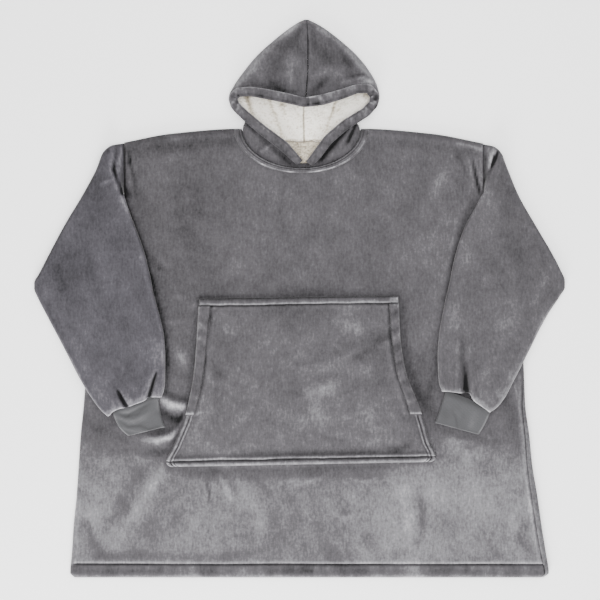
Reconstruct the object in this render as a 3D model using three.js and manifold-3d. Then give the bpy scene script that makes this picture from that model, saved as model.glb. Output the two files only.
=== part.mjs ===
// Wearable blanket hoodie: a knee-length pullover of flannel fleece with a sherpa inside, laid out flat on its back.
// Millimetres. +Z is up from the surface it lies on, +Y runs from the hem to the hood, +X is the wearer's left side.
// The origin is on the surface, under the middle of the garment's outline.
import * as THREE from "three";
import { mergeVertices } from "three/addons/utils/BufferGeometryUtils.js";
import Module from "manifold-3d";

const wasm = await Module();
wasm.setup();

// Driving dimensions
const garmentLength = 1114; // hem to hood peak
const hemLine = -garmentLength / 2;
const neckPointY = 339; // where the shoulder seams reach the neck
const wall = 6; // flannel and sherpa together
const bodyLoft = 14; // height of the laid body, back and front panel with a little air
const sideRadius = bodyLoft / 2;
const seamGap = 0.3; // between pieces that are sewn together
const restGap = 0.6; // between layers that only lie on each other
const hemDepth = 27; // turned hem at the bottom
const neck = { x: 4, halfWidth: 119, frontDepth: 79, backDepth: 26 };
const napTone = 0x77757a;
const sherpaTone = 0xe9e6df;
const ribTone = 0x747578;

const flannel = new THREE.MeshStandardMaterial({ color: napTone, roughness: 0.9, metalness: 0 });
const sherpa = new THREE.MeshStandardMaterial({ color: sherpaTone, roughness: 1, metalness: 0 });
const ribKnit = new THREE.MeshStandardMaterial({ color: ribTone, roughness: 0.85, metalness: 0 });

const { lerp, smoothstep, clamp, degToRad } = THREE.MathUtils;

// Reading tables: a smooth curve through the rows of a table, one column against another, that never swings past
// the values on either side.
function along(rows, key, column, at) {
  const last = rows.length - 1;
  const t = clamp(at, rows[0][key], rows[last][key]);
  let i = 0;
  while (i < last - 1 && t > rows[i + 1][key]) i += 1;
  const slope = (a, b) => (rows[b][column] - rows[a][column]) / (rows[b][key] - rows[a][key]);
  const blendSlopes = (a, b) => (a * b > 0 ? (2 * a * b) / (a + b) : 0);
  const here = slope(i, i + 1);
  const before = i > 0 ? blendSlopes(slope(i - 1, i), here) : here;
  const after = i + 1 < last ? blendSlopes(slope(i + 1, i + 2), here) : here;
  const span = rows[i + 1][key] - rows[i][key];
  const u = (t - rows[i][key]) / span;
  const level = lerp(rows[i][column], rows[i + 1][column], u * u * (3 - 2 * u));
  return level + span * u * (1 - u) * ((1 - u) * before - u * after);
}

const steps = (count) => Array.from({ length: count + 1 }, (_, i) => i / count);
const roundEdge = (distance, radius) => Math.sqrt(1 - (1 - clamp(distance / radius, 0, 1)) ** 2);
const bump = (distance, width) => Math.exp(-((distance / width) ** 2));

// Making solids: a wall between two matching grids of points, rows of columns. A tube's columns close on themselves.
function clothWall(outer, inner, isTube = false) {
  const rows = outer.length;
  const columns = outer[0].length;
  const points = [...outer.flat(), ...inner.flat()];
  const faces = [];
  const quad = (a, b, c, d) => faces.push(a, b, c, a, c, d);
  const out = (r, c) => r * columns + (c % columns);
  const inn = (r, c) => rows * columns + out(r, c);
  const lastColumn = isTube ? columns : columns - 1;
  for (let r = 0; r < rows - 1; r += 1) {
    for (let c = 0; c < lastColumn; c += 1) {
      quad(out(r, c), out(r, c + 1), out(r + 1, c + 1), out(r + 1, c));
      quad(inn(r, c), inn(r + 1, c), inn(r + 1, c + 1), inn(r, c + 1));
    }
  }
  for (let c = 0; c < lastColumn; c += 1) {
    quad(out(0, c), inn(0, c), inn(0, c + 1), out(0, c + 1));
    quad(out(rows - 1, c), out(rows - 1, c + 1), inn(rows - 1, c + 1), inn(rows - 1, c));
  }
  if (!isTube) {
    for (let r = 0; r < rows - 1; r += 1) {
      quad(out(r, 0), out(r + 1, 0), inn(r + 1, 0), inn(r, 0));
      quad(out(r, columns - 1), inn(r, columns - 1), inn(r + 1, columns - 1), out(r + 1, columns - 1));
    }
  }
  return facingOut(points, faces);
}

// A solid bar along rings of points, closed at its two ends.
function bar(rings) {
  const around = rings[0].length;
  const points = rings.flat();
  const faces = [];
  const at = (r, c) => r * around + (c % around);
  for (let r = 0; r < rings.length - 1; r += 1) {
    for (let c = 0; c < around; c += 1) {
      faces.push(at(r, c), at(r, c + 1), at(r + 1, c + 1), at(r, c), at(r + 1, c + 1), at(r + 1, c));
    }
  }
  const end = rings.length - 1;
  for (let c = 1; c < around - 1; c += 1) {
    faces.push(at(0, 0), at(0, c + 1), at(0, c), at(end, 0), at(end, c), at(end, c + 1));
  }
  return facingOut(points, faces);
}

function facingOut(points, faces) {
  let volume = 0;
  for (let i = 0; i < faces.length; i += 3) {
    const [a, b, c] = [points[faces[i]], points[faces[i + 1]], points[faces[i + 2]]];
    volume += new THREE.Vector3().crossVectors(b, c).dot(a);
  }
  const order = volume < 0 ? faces.slice().reverse() : faces;
  const geometry = new THREE.BufferGeometry().setFromPoints(points);
  geometry.setIndex(order);
  return geometry;
}

// Cutting: geometry to a solid and back.
function solid(geometry) {
  const plain = geometry.clone();
  plain.deleteAttribute("normal");
  plain.deleteAttribute("uv");
  const merged = mergeVertices(plain, 1e-4);
  const vertProperties = new Float32Array(merged.getAttribute("position").array);
  const triVerts = new Uint32Array(merged.index.array);
  return new wasm.Manifold(new wasm.Mesh({ numProp: 3, vertProperties, triVerts }));
}

function geometryOf(cut) {
  const mesh = cut.getMesh();
  const geometry = new THREE.BufferGeometry();
  geometry.setAttribute("position", new THREE.BufferAttribute(new Float32Array(mesh.vertProperties), 3));
  geometry.setIndex(Array.from(mesh.triVerts));
  return geometry;
}

// An upright block over a plan outline, used as a cutter.
function block(outline, from, to) {
  const shape = new THREE.Shape(outline);
  const geometry = new THREE.ExtrudeGeometry(shape, { depth: to - from, bevelEnabled: false });
  geometry.translate(0, 0, from);
  return solid(geometry);
}

// Body: one row for each height of the body's plan outline. seam is where the side seam sits on the rounded side,
// in degrees down from the top. open is 1 at the armhole, where front and back part for the sleeve.
const bodyOutline = [
  { y: hemLine, left: -448, right: 487, leftSeam: 175, rightSeam: 5, open: 0 },
  { y: -548, left: -458, right: 498, leftSeam: 175, rightSeam: 5, open: 0 },
  { y: -453, left: -451, right: 484, leftSeam: 165, rightSeam: 15, open: 0 },
  { y: -333, left: -441, right: 466, leftSeam: 150, rightSeam: 35, open: 0 },
  { y: -213, left: -431, right: 451, leftSeam: 120, rightSeam: 65, open: 0 },
  { y: -123, left: -424, right: 446, leftSeam: 90, rightSeam: 90, open: 0 },
  { y: 15, left: -408, right: 424, leftSeam: 90, rightSeam: 90, open: 0 },
  { y: 50, left: -399, right: 414, leftSeam: 90, rightSeam: 90, open: 1 },
  { y: 130, left: -370, right: 384, leftSeam: 90, rightSeam: 90, open: 1 },
  { y: 209, left: -350, right: 367, leftSeam: 90, rightSeam: 90, open: 1 },
  { y: 224, left: -350, right: 367, leftSeam: 90, rightSeam: 90, open: 1 },
  { y: neckPointY, left: -350, right: 367, leftSeam: 90, rightSeam: 90, open: 1 },
];
const shoulderLine = [
  { x: -352, y: 311 },
  { x: -257, y: 329 },
  { x: -119, y: neckPointY },
  { x: 127, y: neckPointY },
  { x: 263, y: 329 },
  { x: 370, y: 310 },
];

// Folds that stand in the front where it shows. Each is a soft ridge, or a trough if rise is negative.
const frontFolds = [
  { name: "lower right long", x: -380, y: -500, toX: -330, toY: -380, width: 40, rise: 5 },
  { name: "lower right side", x: -420, y: -320, toX: -345, toY: -320, width: 34, rise: 4 },
  { name: "hem middle", x: -190, y: -480, toX: -60, toY: -450, width: 38, rise: 4 },
  { name: "lower left side", x: 350, y: -330, toX: 420, toY: -340, width: 36, rise: 4 },
  { name: "lower left upright", x: 380, y: -500, toX: 400, toY: -420, width: 44, rise: 4 },
  { name: "chest left", x: 190, y: 110, toX: 250, toY: 220, width: 46, rise: 5 },
  { name: "chest right", x: -230, y: 90, toX: -200, toY: 200, width: 48, rise: 4 },
  { name: "under neck", x: -20, y: 120, toX: 10, toY: 190, width: 40, rise: 3 },
];

function foldHeight(x, y) {
  let height = 0;
  for (const fold of frontFolds) {
    const [runX, runY] = [fold.toX - fold.x, fold.toY - fold.y];
    const share = clamp(((x - fold.x) * runX + (y - fold.y) * runY) / (runX ** 2 + runY ** 2), 0, 1);
    const distance = Math.hypot(x - fold.x - runX * share, y - fold.y - runY * share);
    height += fold.rise * bump(distance, fold.width);
  }
  return height;
}

// The pocket, and the flat place under it where nothing folds.
const pocketOutline = [
  { y: -332, left: -254, right: 258 },
  { y: -322, left: -265, right: 270 },
  { y: -290, left: -251, right: 260 },
  { y: -228, left: -226, right: 243 },
  { y: -140, left: -209, right: 210 },
  { y: -70, left: -204, right: 200 },
  { y: 1, left: -200, right: 197 },
];
const pocketTop = pocketOutline.at(-1).y;
const pocketFoot = pocketOutline[0].y;
const pocketMouth = { from: -226, to: -6 };
const pocketWall = 5;
const pocketLift = 3.2; // how far the pocket stands off the front between its seams

function insidePocket(x, y) {
  const left = along(pocketOutline, "y", "left", y);
  const right = along(pocketOutline, "y", "right", y);
  return Math.min(x - left, right - x, y - pocketFoot, pocketTop - y);
}

const bodySide = (side, y) => along(bodyOutline, "y", side, y);
const insideBody = (x, y) => Math.min(x - bodySide("left", y), bodySide("right", y) - x);

// Height of the front panel's nap side over the surface.
function frontHeight(x, y) {
  const calmUnderPocket = 1 - smoothstep(insidePocket(x, y), -70, -46);
  const calmAtSides = smoothstep(insideBody(x, y), sideRadius, sideRadius + 25);
  return bodyLoft + foldHeight(x, y) * calmUnderPocket * calmAtSides;
}

const shoulderY = (x) => along(shoulderLine, "x", "y", x);
const bodyY = (x, v) => lerp(hemLine, shoulderY(x), v);

// Rows up the body: close together over the turned hem and at the shoulder seam.
const hemRows = [0, 3, 12, 23, hemDepth, 31, 52];
const bodyHeight = neckPointY - hemLine;
const bodyRows = [
  ...hemRows.map((distance) => distance / bodyHeight),
  ...steps(19).slice(1, -1).map((share) => lerp(52, bodyHeight - 24, share) / bodyHeight),
  ...[24, 6, 0].map((distance) => 1 - distance / bodyHeight),
];

function hemRelief(fromHem) {
  const band = 2 * (1 - smoothstep(fromHem, hemDepth - 2, hemDepth + 2));
  return band + 1.2 * bump(fromHem - hemDepth - 7, 5) - 2.6 * bump(fromHem - hemDepth, 2.2);
}

// Edge rolls at hem and shoulder thin the wall from outside only.
function edgeRoll(fromHem, fromShoulder) {
  const atHem = lerp(0.5, 1, roundEdge(fromHem, 8));
  const atShoulder = lerp(0.45, 1, roundEdge(fromShoulder, 10));
  return atHem * atShoulder;
}

// One panel of the body. facing is 1 for the front and -1 for the back.
function bodyPanel(facing, columnCount) {
  const arcSteps = steps(3);
  const outer = [];
  const inner = [];
  for (const v of bodyRows) {
    const edgeY = { left: bodyY(-350, v), right: bodyY(367, v) };
    const side = {};
    for (const name of ["left", "right"]) {
      const seam = along(bodyOutline, "y", name + "Seam", edgeY[name]);
      const open = clamp(along(bodyOutline, "y", "open", edgeY[name]), 0, 1);
      const sweep = facing > 0 ? seam : 180 - seam;
      const turnIn = sideRadius * lerp(1, 0.1, open);
      side[name] = { edge: bodySide(name, edgeY[name]), sweep: degToRad(lerp(sweep, 6, open)), turnIn };
    }
    const outerRow = [];
    const innerRow = [];
    const put = (x, out, inn, inX) => {
      const y = bodyY(x, v);
      const roll = edgeRoll(y - hemLine, shoulderY(x) - y);
      const relief = facing > 0 && out > 0.9 * sideRadius ? hemRelief(y - hemLine) : 0;
      const rolled = sideRadius + facing * (out + relief) * roll;
      outerRow.push(new THREE.Vector3(x, y, rolled));
      innerRow.push(new THREE.Vector3(inX, y, sideRadius + facing * inn));
    };
    const arc = (name, turn) => {
      const toMiddle = name === "left" ? 1 : -1;
      const centre = side[name].edge + toMiddle * side[name].turnIn;
      const angle = side[name].sweep * (1 - turn);
      const slide = turn === 0 ? seamGap / 2 : 0;
      const [away, up] = [Math.sin(angle), Math.cos(angle)];
      const x = centre - toMiddle * (sideRadius * away - slide * up);
      const inX = centre - toMiddle * ((sideRadius - wall) * away - slide * up);
      put(x, sideRadius * up + slide * away, (sideRadius - wall) * up + slide * away, inX);
    };
    arcSteps.slice(0, -1).forEach((turn) => arc("left", turn));
    const from = side.left.edge + side.left.turnIn;
    const to = side.right.edge - side.right.turnIn;
    for (const u of steps(columnCount)) {
      const x = lerp(from, to, u);
      const top = facing > 0 ? frontHeight(x, bodyY(x, v)) - sideRadius : sideRadius;
      put(x, top, top - wall, x);
    }
    arcSteps.slice(0, -1).reverse().forEach((turn) => arc("right", turn));
    outer.push(outerRow);
    inner.push(innerRow);
  }
  return clothWall(outer, inner);
}

// The neck hole: a half ellipse below the neck points and open above them.
function neckOutline(depth, grow) {
  const outline = steps(28).map((share) => {
    const turn = Math.PI * (1 + share);
    const halfWidth = neck.halfWidth + grow;
    return new THREE.Vector2(
      neck.x + halfWidth * Math.cos(turn),
      neckPointY + (depth + grow) * Math.sin(turn),
    );
  });
  const above = neckPointY + 40;
  outline.push(new THREE.Vector2(neck.x + neck.halfWidth + grow, above));
  outline.push(new THREE.Vector2(neck.x - neck.halfWidth - grow, above));
  return outline;
}

function frontPanel() {
  const hole = block(neckOutline(neck.frontDepth, 0), -5, 60);
  return geometryOf(solid(bodyPanel(1, 22)).subtract(hole));
}

function backPanel() {
  const hole = block(neckOutline(neck.backDepth, 0), -5, 60);
  return geometryOf(solid(bodyPanel(-1, 8)).subtract(hole));
}

// A low rounded strip that lies on a panel, such as a stitched seam allowance. Its section is half a lens.
function strip(path, width, rise, floorAt) {
  const across = [-1, 0, 1];
  return bar(
    path.map(({ x, y, nx, ny }) => {
      const spot = (share, height) => {
        const [px, py] = [x + (nx * share * width) / 2, y + (ny * share * width) / 2];
        return new THREE.Vector3(px, py, floorAt(px, py) + seamGap + height);
      };
      const top = across.map((share) => spot(share, 0.8 + (rise - 0.8) * (1 - share ** 2)));
      const bottom = across.slice().reverse().map((share) => spot(share, 0));
      return [...top, ...bottom];
    }),
  );
}

// The neck seam's allowance, pressed down on the front and stitched 11 mm from the seam.
function neckBinding() {
  const width = 10;
  const path = steps(28).map((share) => {
    const turn = Math.PI * lerp(1.03, 1.97, share);
    const [nx, ny] = [Math.cos(turn), Math.sin(turn)];
    const reach = width / 2 + 1;
    const x = neck.x + (neck.halfWidth + reach) * nx;
    return { x, y: neckPointY + (neck.frontDepth + reach) * ny, nx, ny };
  });
  return strip(path, width, 3.4, (x, y) => frontHeight(x, y) + 0.4);
}

// Pocket: relief from its stitched top, foot and lower sides, and how far it stands off the front.
const pocketHem = 14;
function pocketRelief(fromEdge) {
  const ridge = 2.2 * bump(fromEdge - pocketHem / 2, 4.5);
  return ridge - 1.6 * bump(fromEdge - pocketHem, 2);
}

function pocketLiftAt(fromSide, y) {
  const isMouth = smoothstep(y, pocketMouth.from - 8, pocketMouth.from + 4);
  const atSides = Math.max(isMouth, smoothstep(fromSide, 10, 40));
  return pocketLift * smoothstep(pocketTop - y, 2, 24) * smoothstep(y - pocketFoot, 12, 44) * atSides;
}

const pocketRows = [
  ...[0, 2, 7, pocketHem, 20].map((distance) => pocketFoot + distance),
  ...steps(12).slice(1, -1).map((share) => lerp(pocketFoot + 20, pocketTop - 20, share)),
  ...[20, pocketHem, 7, 2, 0].map((distance) => pocketTop - distance),
];

function pocketPoint(y, fromSide, side) {
  const edge = along(pocketOutline, "y", side, y);
  return edge + (side === "left" ? fromSide : -fromSide);
}

function pocketPanel() {
  const near = [0, 2, 7, pocketHem, 32];
  const outer = [];
  const inner = [];
  for (const y of pocketRows) {
    const from = pocketPoint(y, 32, "left");
    const to = pocketPoint(y, 32, "right");
    const across = [
      ...near.map((distance) => ({ x: pocketPoint(y, distance, "left"), distance })),
      ...steps(6).slice(1, -1).map((u) => ({ x: lerp(from, to, u), distance: 90 })),
      ...near.slice().reverse().map((distance) => ({ x: pocketPoint(y, distance, "right"), distance })),
    ];
    const sewn = 1 - smoothstep(y, pocketMouth.from - 8, pocketMouth.from + 2);
    const points = across.map(({ x, distance }) => {
      const lift = pocketLiftAt(distance, y);
      const floor = frontHeight(x, y) + seamGap + lift;
      const relief = Math.max(
        pocketRelief(y - pocketFoot),
        pocketRelief(pocketTop - y),
        sewn * pocketRelief(distance),
      );
      const groove = Math.min(0, pocketRelief(y - pocketFoot), pocketRelief(pocketTop - y), sewn * pocketRelief(distance));
      const roll = Math.min(roundEdge(distance, 5), roundEdge(y - pocketFoot, 5), roundEdge(pocketTop - y, 5));
      const height = lerp(2.4, pocketWall, roll) + (relief > 0.3 ? relief : groove);
      return [new THREE.Vector3(x, y, floor + height), new THREE.Vector3(x, y, floor)];
    });
    outer.push(points.map(([top]) => top));
    inner.push(points.map(([, under]) => under));
  }
  return clothWall(outer, inner);
}

// The turned hem of one pocket mouth, stitched down on the pocket.
function pocketMouthHem(side) {
  const width = { top: 20, foot: 16 };
  const path = steps(12).map((share) => {
    const y = lerp(pocketMouth.from, pocketTop - 17, share);
    const middle = lerp(width.foot, width.top, share) / 2 + 1.5;
    return { x: pocketPoint(y, middle, side), y, nx: side === "left" ? -1 : 1, ny: 0 };
  });
  const pocketHeight = (x, y) => {
    const edge = along(pocketOutline, "y", side, y);
    return frontHeight(x, y) + seamGap + pocketLiftAt(Math.abs(x - edge), y) + pocketWall + 0.5;
  };
  return strip(path, lerp(width.foot, width.top, 0.5), 3, pocketHeight);
}

// Sleeves: one row for each section, from the armhole to the cuff. Each section is a flattened tube from the outer
// fold to the inner fold. loft is its height, and rests is 0 at the armhole seam and 1 where it can lie on the front.
const rightSleeveSections = [
  { outX: -350.3, outY: 310, inX: -350.3, inY: 213, loft: 14, rests: 0 },
  { outX: -373, outY: 306, inX: -357, inY: 212, loft: 14.5, rests: 0.4 },
  { outX: -391, outY: 293, inX: -355, inY: 203, loft: 15, rests: 1 },
  { outX: -406, outY: 257, inX: -337, inY: 169, loft: 15, rests: 1 },
  { outX: -433, outY: 207, inX: -322, inY: 130, loft: 15, rests: 1 },
  { outX: -469, outY: 147, inX: -308, inY: 90, loft: 15, rests: 1 },
  { outX: -501, outY: 87, inX: -299, inY: 54, loft: 15, rests: 1 },
  { outX: -520, outY: 50, inX: -294, inY: 30, loft: 15, rests: 1 },
  { outX: -530, outY: 32, inX: -292, inY: 15, loft: 15, rests: 1 },
  { outX: -530, outY: 20, inX: -289, inY: 5, loft: 15, rests: 1 },
  { outX: -521, outY: -2, inX: -284, inY: -14, loft: 15, rests: 1 },
  { outX: -505, outY: -33, inX: -277, inY: -40, loft: 15, rests: 1 },
  { outX: -473, outY: -93, inX: -269, inY: -80, loft: 16, rests: 1 },
  { outX: -441, outY: -153, inX: -267, inY: -120, loft: 18, rests: 1 },
  { outX: -416, outY: -194, inX: -267, inY: -155, loft: 20, rests: 1 },
  { outX: -397, outY: -219, inX: -269, inY: -180, loft: 22, rests: 1 },
  { outX: -386, outY: -229, inX: -273, inY: -193, loft: 20, rests: 1 },
];
const leftSleeveSections = [
  { outX: 367.3, outY: 308, inX: 367.3, inY: 215, loft: 14, rests: 0 },
  { outX: 386, outY: 304, inX: 374, inY: 214, loft: 14.5, rests: 0.4 },
  { outX: 402, outY: 291, inX: 371, inY: 205, loft: 15, rests: 1 },
  { outX: 414, outY: 262, inX: 350, inY: 180, loft: 15, rests: 1 },
  { outX: 437, outY: 207, inX: 328, inY: 140, loft: 15, rests: 1 },
  { outX: 471, outY: 147, inX: 313, inY: 97, loft: 15, rests: 1 },
  { outX: 505, outY: 89, inX: 304, inY: 60, loft: 15, rests: 1 },
  { outX: 520, outY: 60, inX: 300, inY: 38, loft: 15, rests: 1 },
  { outX: 530, outY: 36, inX: 296, inY: 20, loft: 15, rests: 1 },
  { outX: 530, outY: 22, inX: 293, inY: 8, loft: 15, rests: 1 },
  { outX: 521, outY: 6, inX: 290, inY: -5, loft: 15, rests: 1 },
  { outX: 495, outY: -33, inX: 284, inY: -36, loft: 15, rests: 1 },
  { outX: 460, outY: -98, inX: 277, inY: -78, loft: 16, rests: 1 },
  { outX: 427, outY: -162, inX: 276, inY: -120, loft: 18, rests: 1 },
  { outX: 407, outY: -199, inX: 277, inY: -155, loft: 20, rests: 1 },
  { outX: 391, outY: -218, inX: 279, inY: -176, loft: 22, rests: 1 },
  { outX: 381, outY: -225, inX: 283, inY: -186, loft: 20, rests: 1 },
];
// Columns of points across a sleeve. Those from "slope" to "side" stand where it climbs onto the body, and pleat
// says how deep the cloth is pleated into the cuff there.
const sleeveColumns = [
  { at: 0, pleat: 0 },
  { at: 0.14, pleat: 0 },
  { at: 0.3, pleat: 0, name: "slope" },
  { at: 0.36, pleat: 0.4 },
  { at: 0.42, pleat: 1, name: "side" },
  { at: 0.5, pleat: 0.2 },
  { at: 0.6, pleat: 0 },
  { at: 0.7, pleat: 0.3 },
  { at: 0.78, pleat: 1 },
  { at: 0.88, pleat: 0.1 },
  { at: 1, pleat: 0 },
];
const pleatDepth = 3.5;

// Where a section crosses the body's side, as a share of its length, kept clear of both its folds.
function bodyCrossing(from, to) {
  const inside = (share) => insideBody(lerp(from.x, to.x, share), lerp(from.y, to.y, share));
  const crossing = steps(80).find((share) => inside(share) > -8) ?? 1;
  return clamp(crossing, 0.12, 0.9);
}

// What a sleeve lies on: the front where it is over the body, the surface beyond the side seam.
function underSleeve(x, y) {
  return (frontHeight(x, y) + restGap) * smoothstep(insideBody(x, y), -34, -8);
}

// One ring of a flattened tube: its top from the outer fold to the inner one, round, and back below.
function ringPoints(from, to, inset, heights, columns, side = sideRadius) {
  const run = new THREE.Vector2().subVectors(to, from);
  const length = run.length();
  run.normalize();
  const points = [];
  const spot = (distance) => [from.x + run.x * distance, from.y + run.y * distance];
  const flat = (share, isTop) => {
    const [x, y] = spot(lerp(side, length - side, share));
    const [low, high] = heights(x, y, share);
    points.push(new THREE.Vector3(x, y, isTop ? high - inset : low + inset));
  };
  const turned = (centre, sign, angles) => {
    const [cx, cy] = spot(centre);
    const [low, high] = heights(cx, cy, sign < 0 ? 0 : 1);
    const [middle, half] = [(low + high) / 2, (high - low) / 2 - inset];
    const away = Math.max(side - inset, 0.8);
    for (const angle of angles) {
      const [dx, dz] = [Math.sin(angle) * away * sign, Math.cos(angle) * half];
      points.push(new THREE.Vector3(cx + run.x * dx, cy + run.y * dx, middle + dz));
    }
  };
  const arcs = steps(4).slice(1, -1).map((share) => Math.PI * share);
  columns.forEach((share) => flat(share, true));
  turned(length - side, 1, arcs);
  columns.slice().reverse().forEach((share) => flat(share, false));
  turned(side, -1, arcs.slice().reverse());
  return points;
}

function sleeve(sections) {
  const last = sections.length - 1;
  const named = (name) => sleeveColumns.find((column) => column.name === name).at;
  const outer = [];
  const inner = [];
  sections.forEach((section, i) => {
    const from = new THREE.Vector2(section.outX, section.outY);
    const to = new THREE.Vector2(section.inX, section.inY);
    const crossing = bodyCrossing(from, to);
    const slope = crossing - Math.min(30 / from.distanceTo(to), crossing / 2);
    const knots = [
      { at: 0, share: 0 },
      { at: named("slope"), share: slope },
      { at: named("side"), share: crossing },
      { at: 1, share: 1 },
    ];
    const place = ({ at }) => {
      const k = knots.findIndex((knot) => at <= knot.at) || 1;
      const [before, after] = [knots[k - 1], knots[k]];
      return lerp(before.share, after.share, (at - before.at) / (after.at - before.at));
    };
    const columns = sleeveColumns.map(place);
    const pleats = columns.map((share, c) => ({ share, pleat: sleeveColumns[c].pleat }));
    const nearCuff = clamp((i - last + 3) / 3, 0, 1);
    const thin = i === last ? 3.4 : i === last - 1 ? 4 : wall;
    const heights = (x, y, share) => {
      const low = underSleeve(x, y) * section.rests;
      return [low, low + section.loft - pleatDepth * nearCuff * along(pleats, "share", "pleat", share)];
    };
    outer.push(ringPoints(from, to, 0, heights, columns));
    inner.push(ringPoints(from, to, thin, heights, columns));
  });
  return clothWall(outer, inner, true);
}

// Cuffs: rib knit tubes. They leave the sleeve's mouth half way up its height and settle on the front.
const cuffWall = 2.6;
const cuffLoft = 7.4;
const rightCuffSections = [
  { outX: -366, outY: -221, inX: -283, inY: -195, lift: 4 },
  { outX: -365, outY: -232, inX: -281, inY: -205, lift: 3.8 },
  { outX: -361, outY: -247, inX: -278, inY: -222, lift: 1.5 },
  { outX: -352, outY: -262, inX: -273, inY: -240, lift: 0.6 },
  { outX: -341, outY: -273, inX: -269, inY: -253, lift: 0.4 },
];
const leftCuffSections = [
  { outX: 372, outY: -219, inX: 294, inY: -187, lift: 4 },
  { outX: 375, outY: -230, inX: 288, inY: -197, lift: 3.8 },
  { outX: 371, outY: -244, inX: 282, inY: -215, lift: 1.5 },
  { outX: 364, outY: -258, inX: 275, inY: -233, lift: 0.6 },
  { outX: 357, outY: -270, inX: 270, inY: -246, lift: 0.4 },
];

function cuff(sections) {
  const columns = steps(6);
  const rings = (inset) =>
    sections.map((section) => {
      const from = new THREE.Vector2(section.outX, section.outY);
      const to = new THREE.Vector2(section.inX, section.inY);
      const heights = (x, y) => {
        const low = frontHeight(x, y) + restGap + section.lift;
        return [low, low + cuffLoft];
      };
      return ringPoints(from, to, inset, heights, columns, cuffLoft / 2);
    });
  return clothWall(rings(0), rings(cuffWall), true);
}

// Hood: its plan outline, from the front of the neck to the peak, and how high its top layer stands in the middle.
const hoodOutline = [
  { y: 260, left: -16, right: 24, deck: 14 },
  { y: 275, left: -70, right: 78, deck: 16 },
  { y: 300, left: -104, right: 112, deck: 20 },
  { y: 325, left: -114, right: 122, deck: 24 },
  { y: 341, left: -114, right: 120, deck: 26 },
  { y: 355, left: -112, right: 118, deck: 28 },
  { y: 368, left: -126, right: 140, deck: 29 },
  { y: 385, left: -138, right: 156, deck: 30 },
  { y: 403, left: -141, right: 160, deck: 30 },
  { y: 425, left: -131, right: 155, deck: 29 },
  { y: 455, left: -110, right: 139, deck: 27 },
  { y: 485, left: -85, right: 115, deck: 25 },
  { y: 515, left: -52, right: 82, deck: 22 },
  { y: 540, left: -20, right: 49, deck: 19 },
  { y: 552, left: -3, right: 30, deck: 16 },
  { y: garmentLength / 2, left: 7, right: 19, deck: 13 },
];
const hoodPeak = garmentLength / 2;

// Height of the hood's top layer. It rolls down to the surface at its fold, and to the front at the neck seam.
function hoodHeight(x, y) {
  const left = along(hoodOutline, "y", "left", y);
  const right = along(hoodOutline, "y", "right", y);
  const deck = along(hoodOutline, "y", "deck", y);
  const inside = Math.max(Math.min(x - left, right - x) * 0.8, 0);
  const seat = lerp(13, 7, smoothstep(y, 332, 350));
  const nearPeak = roundEdge(hoodPeak - y, 22);
  return seat + (deck - seat) * roundEdge(inside, 34) * nearPeak;
}

function hoodGrid(rows, columns, inset, height) {
  return rows.map((y) => {
    const left = along(hoodOutline, "y", "left", y) + inset;
    const right = along(hoodOutline, "y", "right", y) - inset;
    return columns.map((u) => {
      const x = lerp(left, right, u);
      return new THREE.Vector3(x, y, height(x, y));
    });
  });
}

// The opening's hem: one row for each place along its middle line, from the front of the neck round the face.
const hoodHemLine = [
  { name: "front of neck", x: -1, y: 274, width: 14 },
  { name: "lower right", x: -33, y: 304, width: 21 },
  { name: "right side", x: -75, y: 338, width: 20 },
  { name: "right cheek", x: -109, y: 366, width: 18 },
  { name: "right corner below", x: -128, y: 386, width: 17 },
  { name: "right corner", x: -131, y: 405, width: 16 },
  { name: "right corner above", x: -105, y: 417, width: 17 },
  { name: "right brow", x: -63, y: 409, width: 20 },
  { name: "brow", x: -23, y: 403, width: 20 },
  { name: "centre", x: 10, y: 398, width: 19 },
  { name: "left brow", x: 45, y: 401, width: 21 },
  { name: "left temple", x: 83, y: 411, width: 20 },
  { name: "left corner above", x: 119, y: 424, width: 17 },
  { name: "left corner top", x: 146, y: 419, width: 16 },
  { name: "left corner", x: 151, y: 400, width: 16 },
  { name: "left corner below", x: 133, y: 375, width: 18 },
  { name: "left cheek", x: 93, y: 349, width: 20 },
  { name: "left side", x: 57, y: 317, width: 20 },
  { name: "lower left", x: 32, y: 284, width: 19 },
  { name: "front of neck again", x: 15, y: 270, width: 14 },
];

function hoodHemPath(count) {
  const curve = new THREE.CatmullRomCurve3(
    hoodHemLine.map(({ x, y }) => new THREE.Vector3(x, y, 0)),
    false,
    "centripetal",
  );
  const widths = hoodHemLine.map(({ width }, i) => ({ at: i, width }));
  return steps(count).map((share) => {
    const point = curve.getPoint(share);
    const tangent = curve.getTangent(share);
    const width = along(widths, "at", "width", share * (hoodHemLine.length - 1));
    return { x: point.x, y: point.y, nx: -tangent.y, ny: tangent.x, width };
  });
}

const hoodHemRise = 8;
function hoodHem() {
  const rings = hoodHemPath(48).map(({ x, y, nx, ny, width }) => {
    const ring = [];
    for (const share of steps(8).slice(0, -1)) {
      const turn = 2 * Math.PI * share;
      const [px, py] = [x + (nx * Math.cos(turn) * width) / 2, y + (ny * Math.cos(turn) * width) / 2];
      const middle = hoodHeight(x, y) + hoodHemRise / 2 + restGap;
      const slope = clamp(hoodHeight(px, py) - hoodHeight(x, y), -3, 3);
      ring.push(new THREE.Vector3(px, py, middle + Math.max(slope, 0) + (Math.sin(turn) * hoodHemRise) / 2));
    }
    return ring;
  });
  return bar(rings);
}

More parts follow.
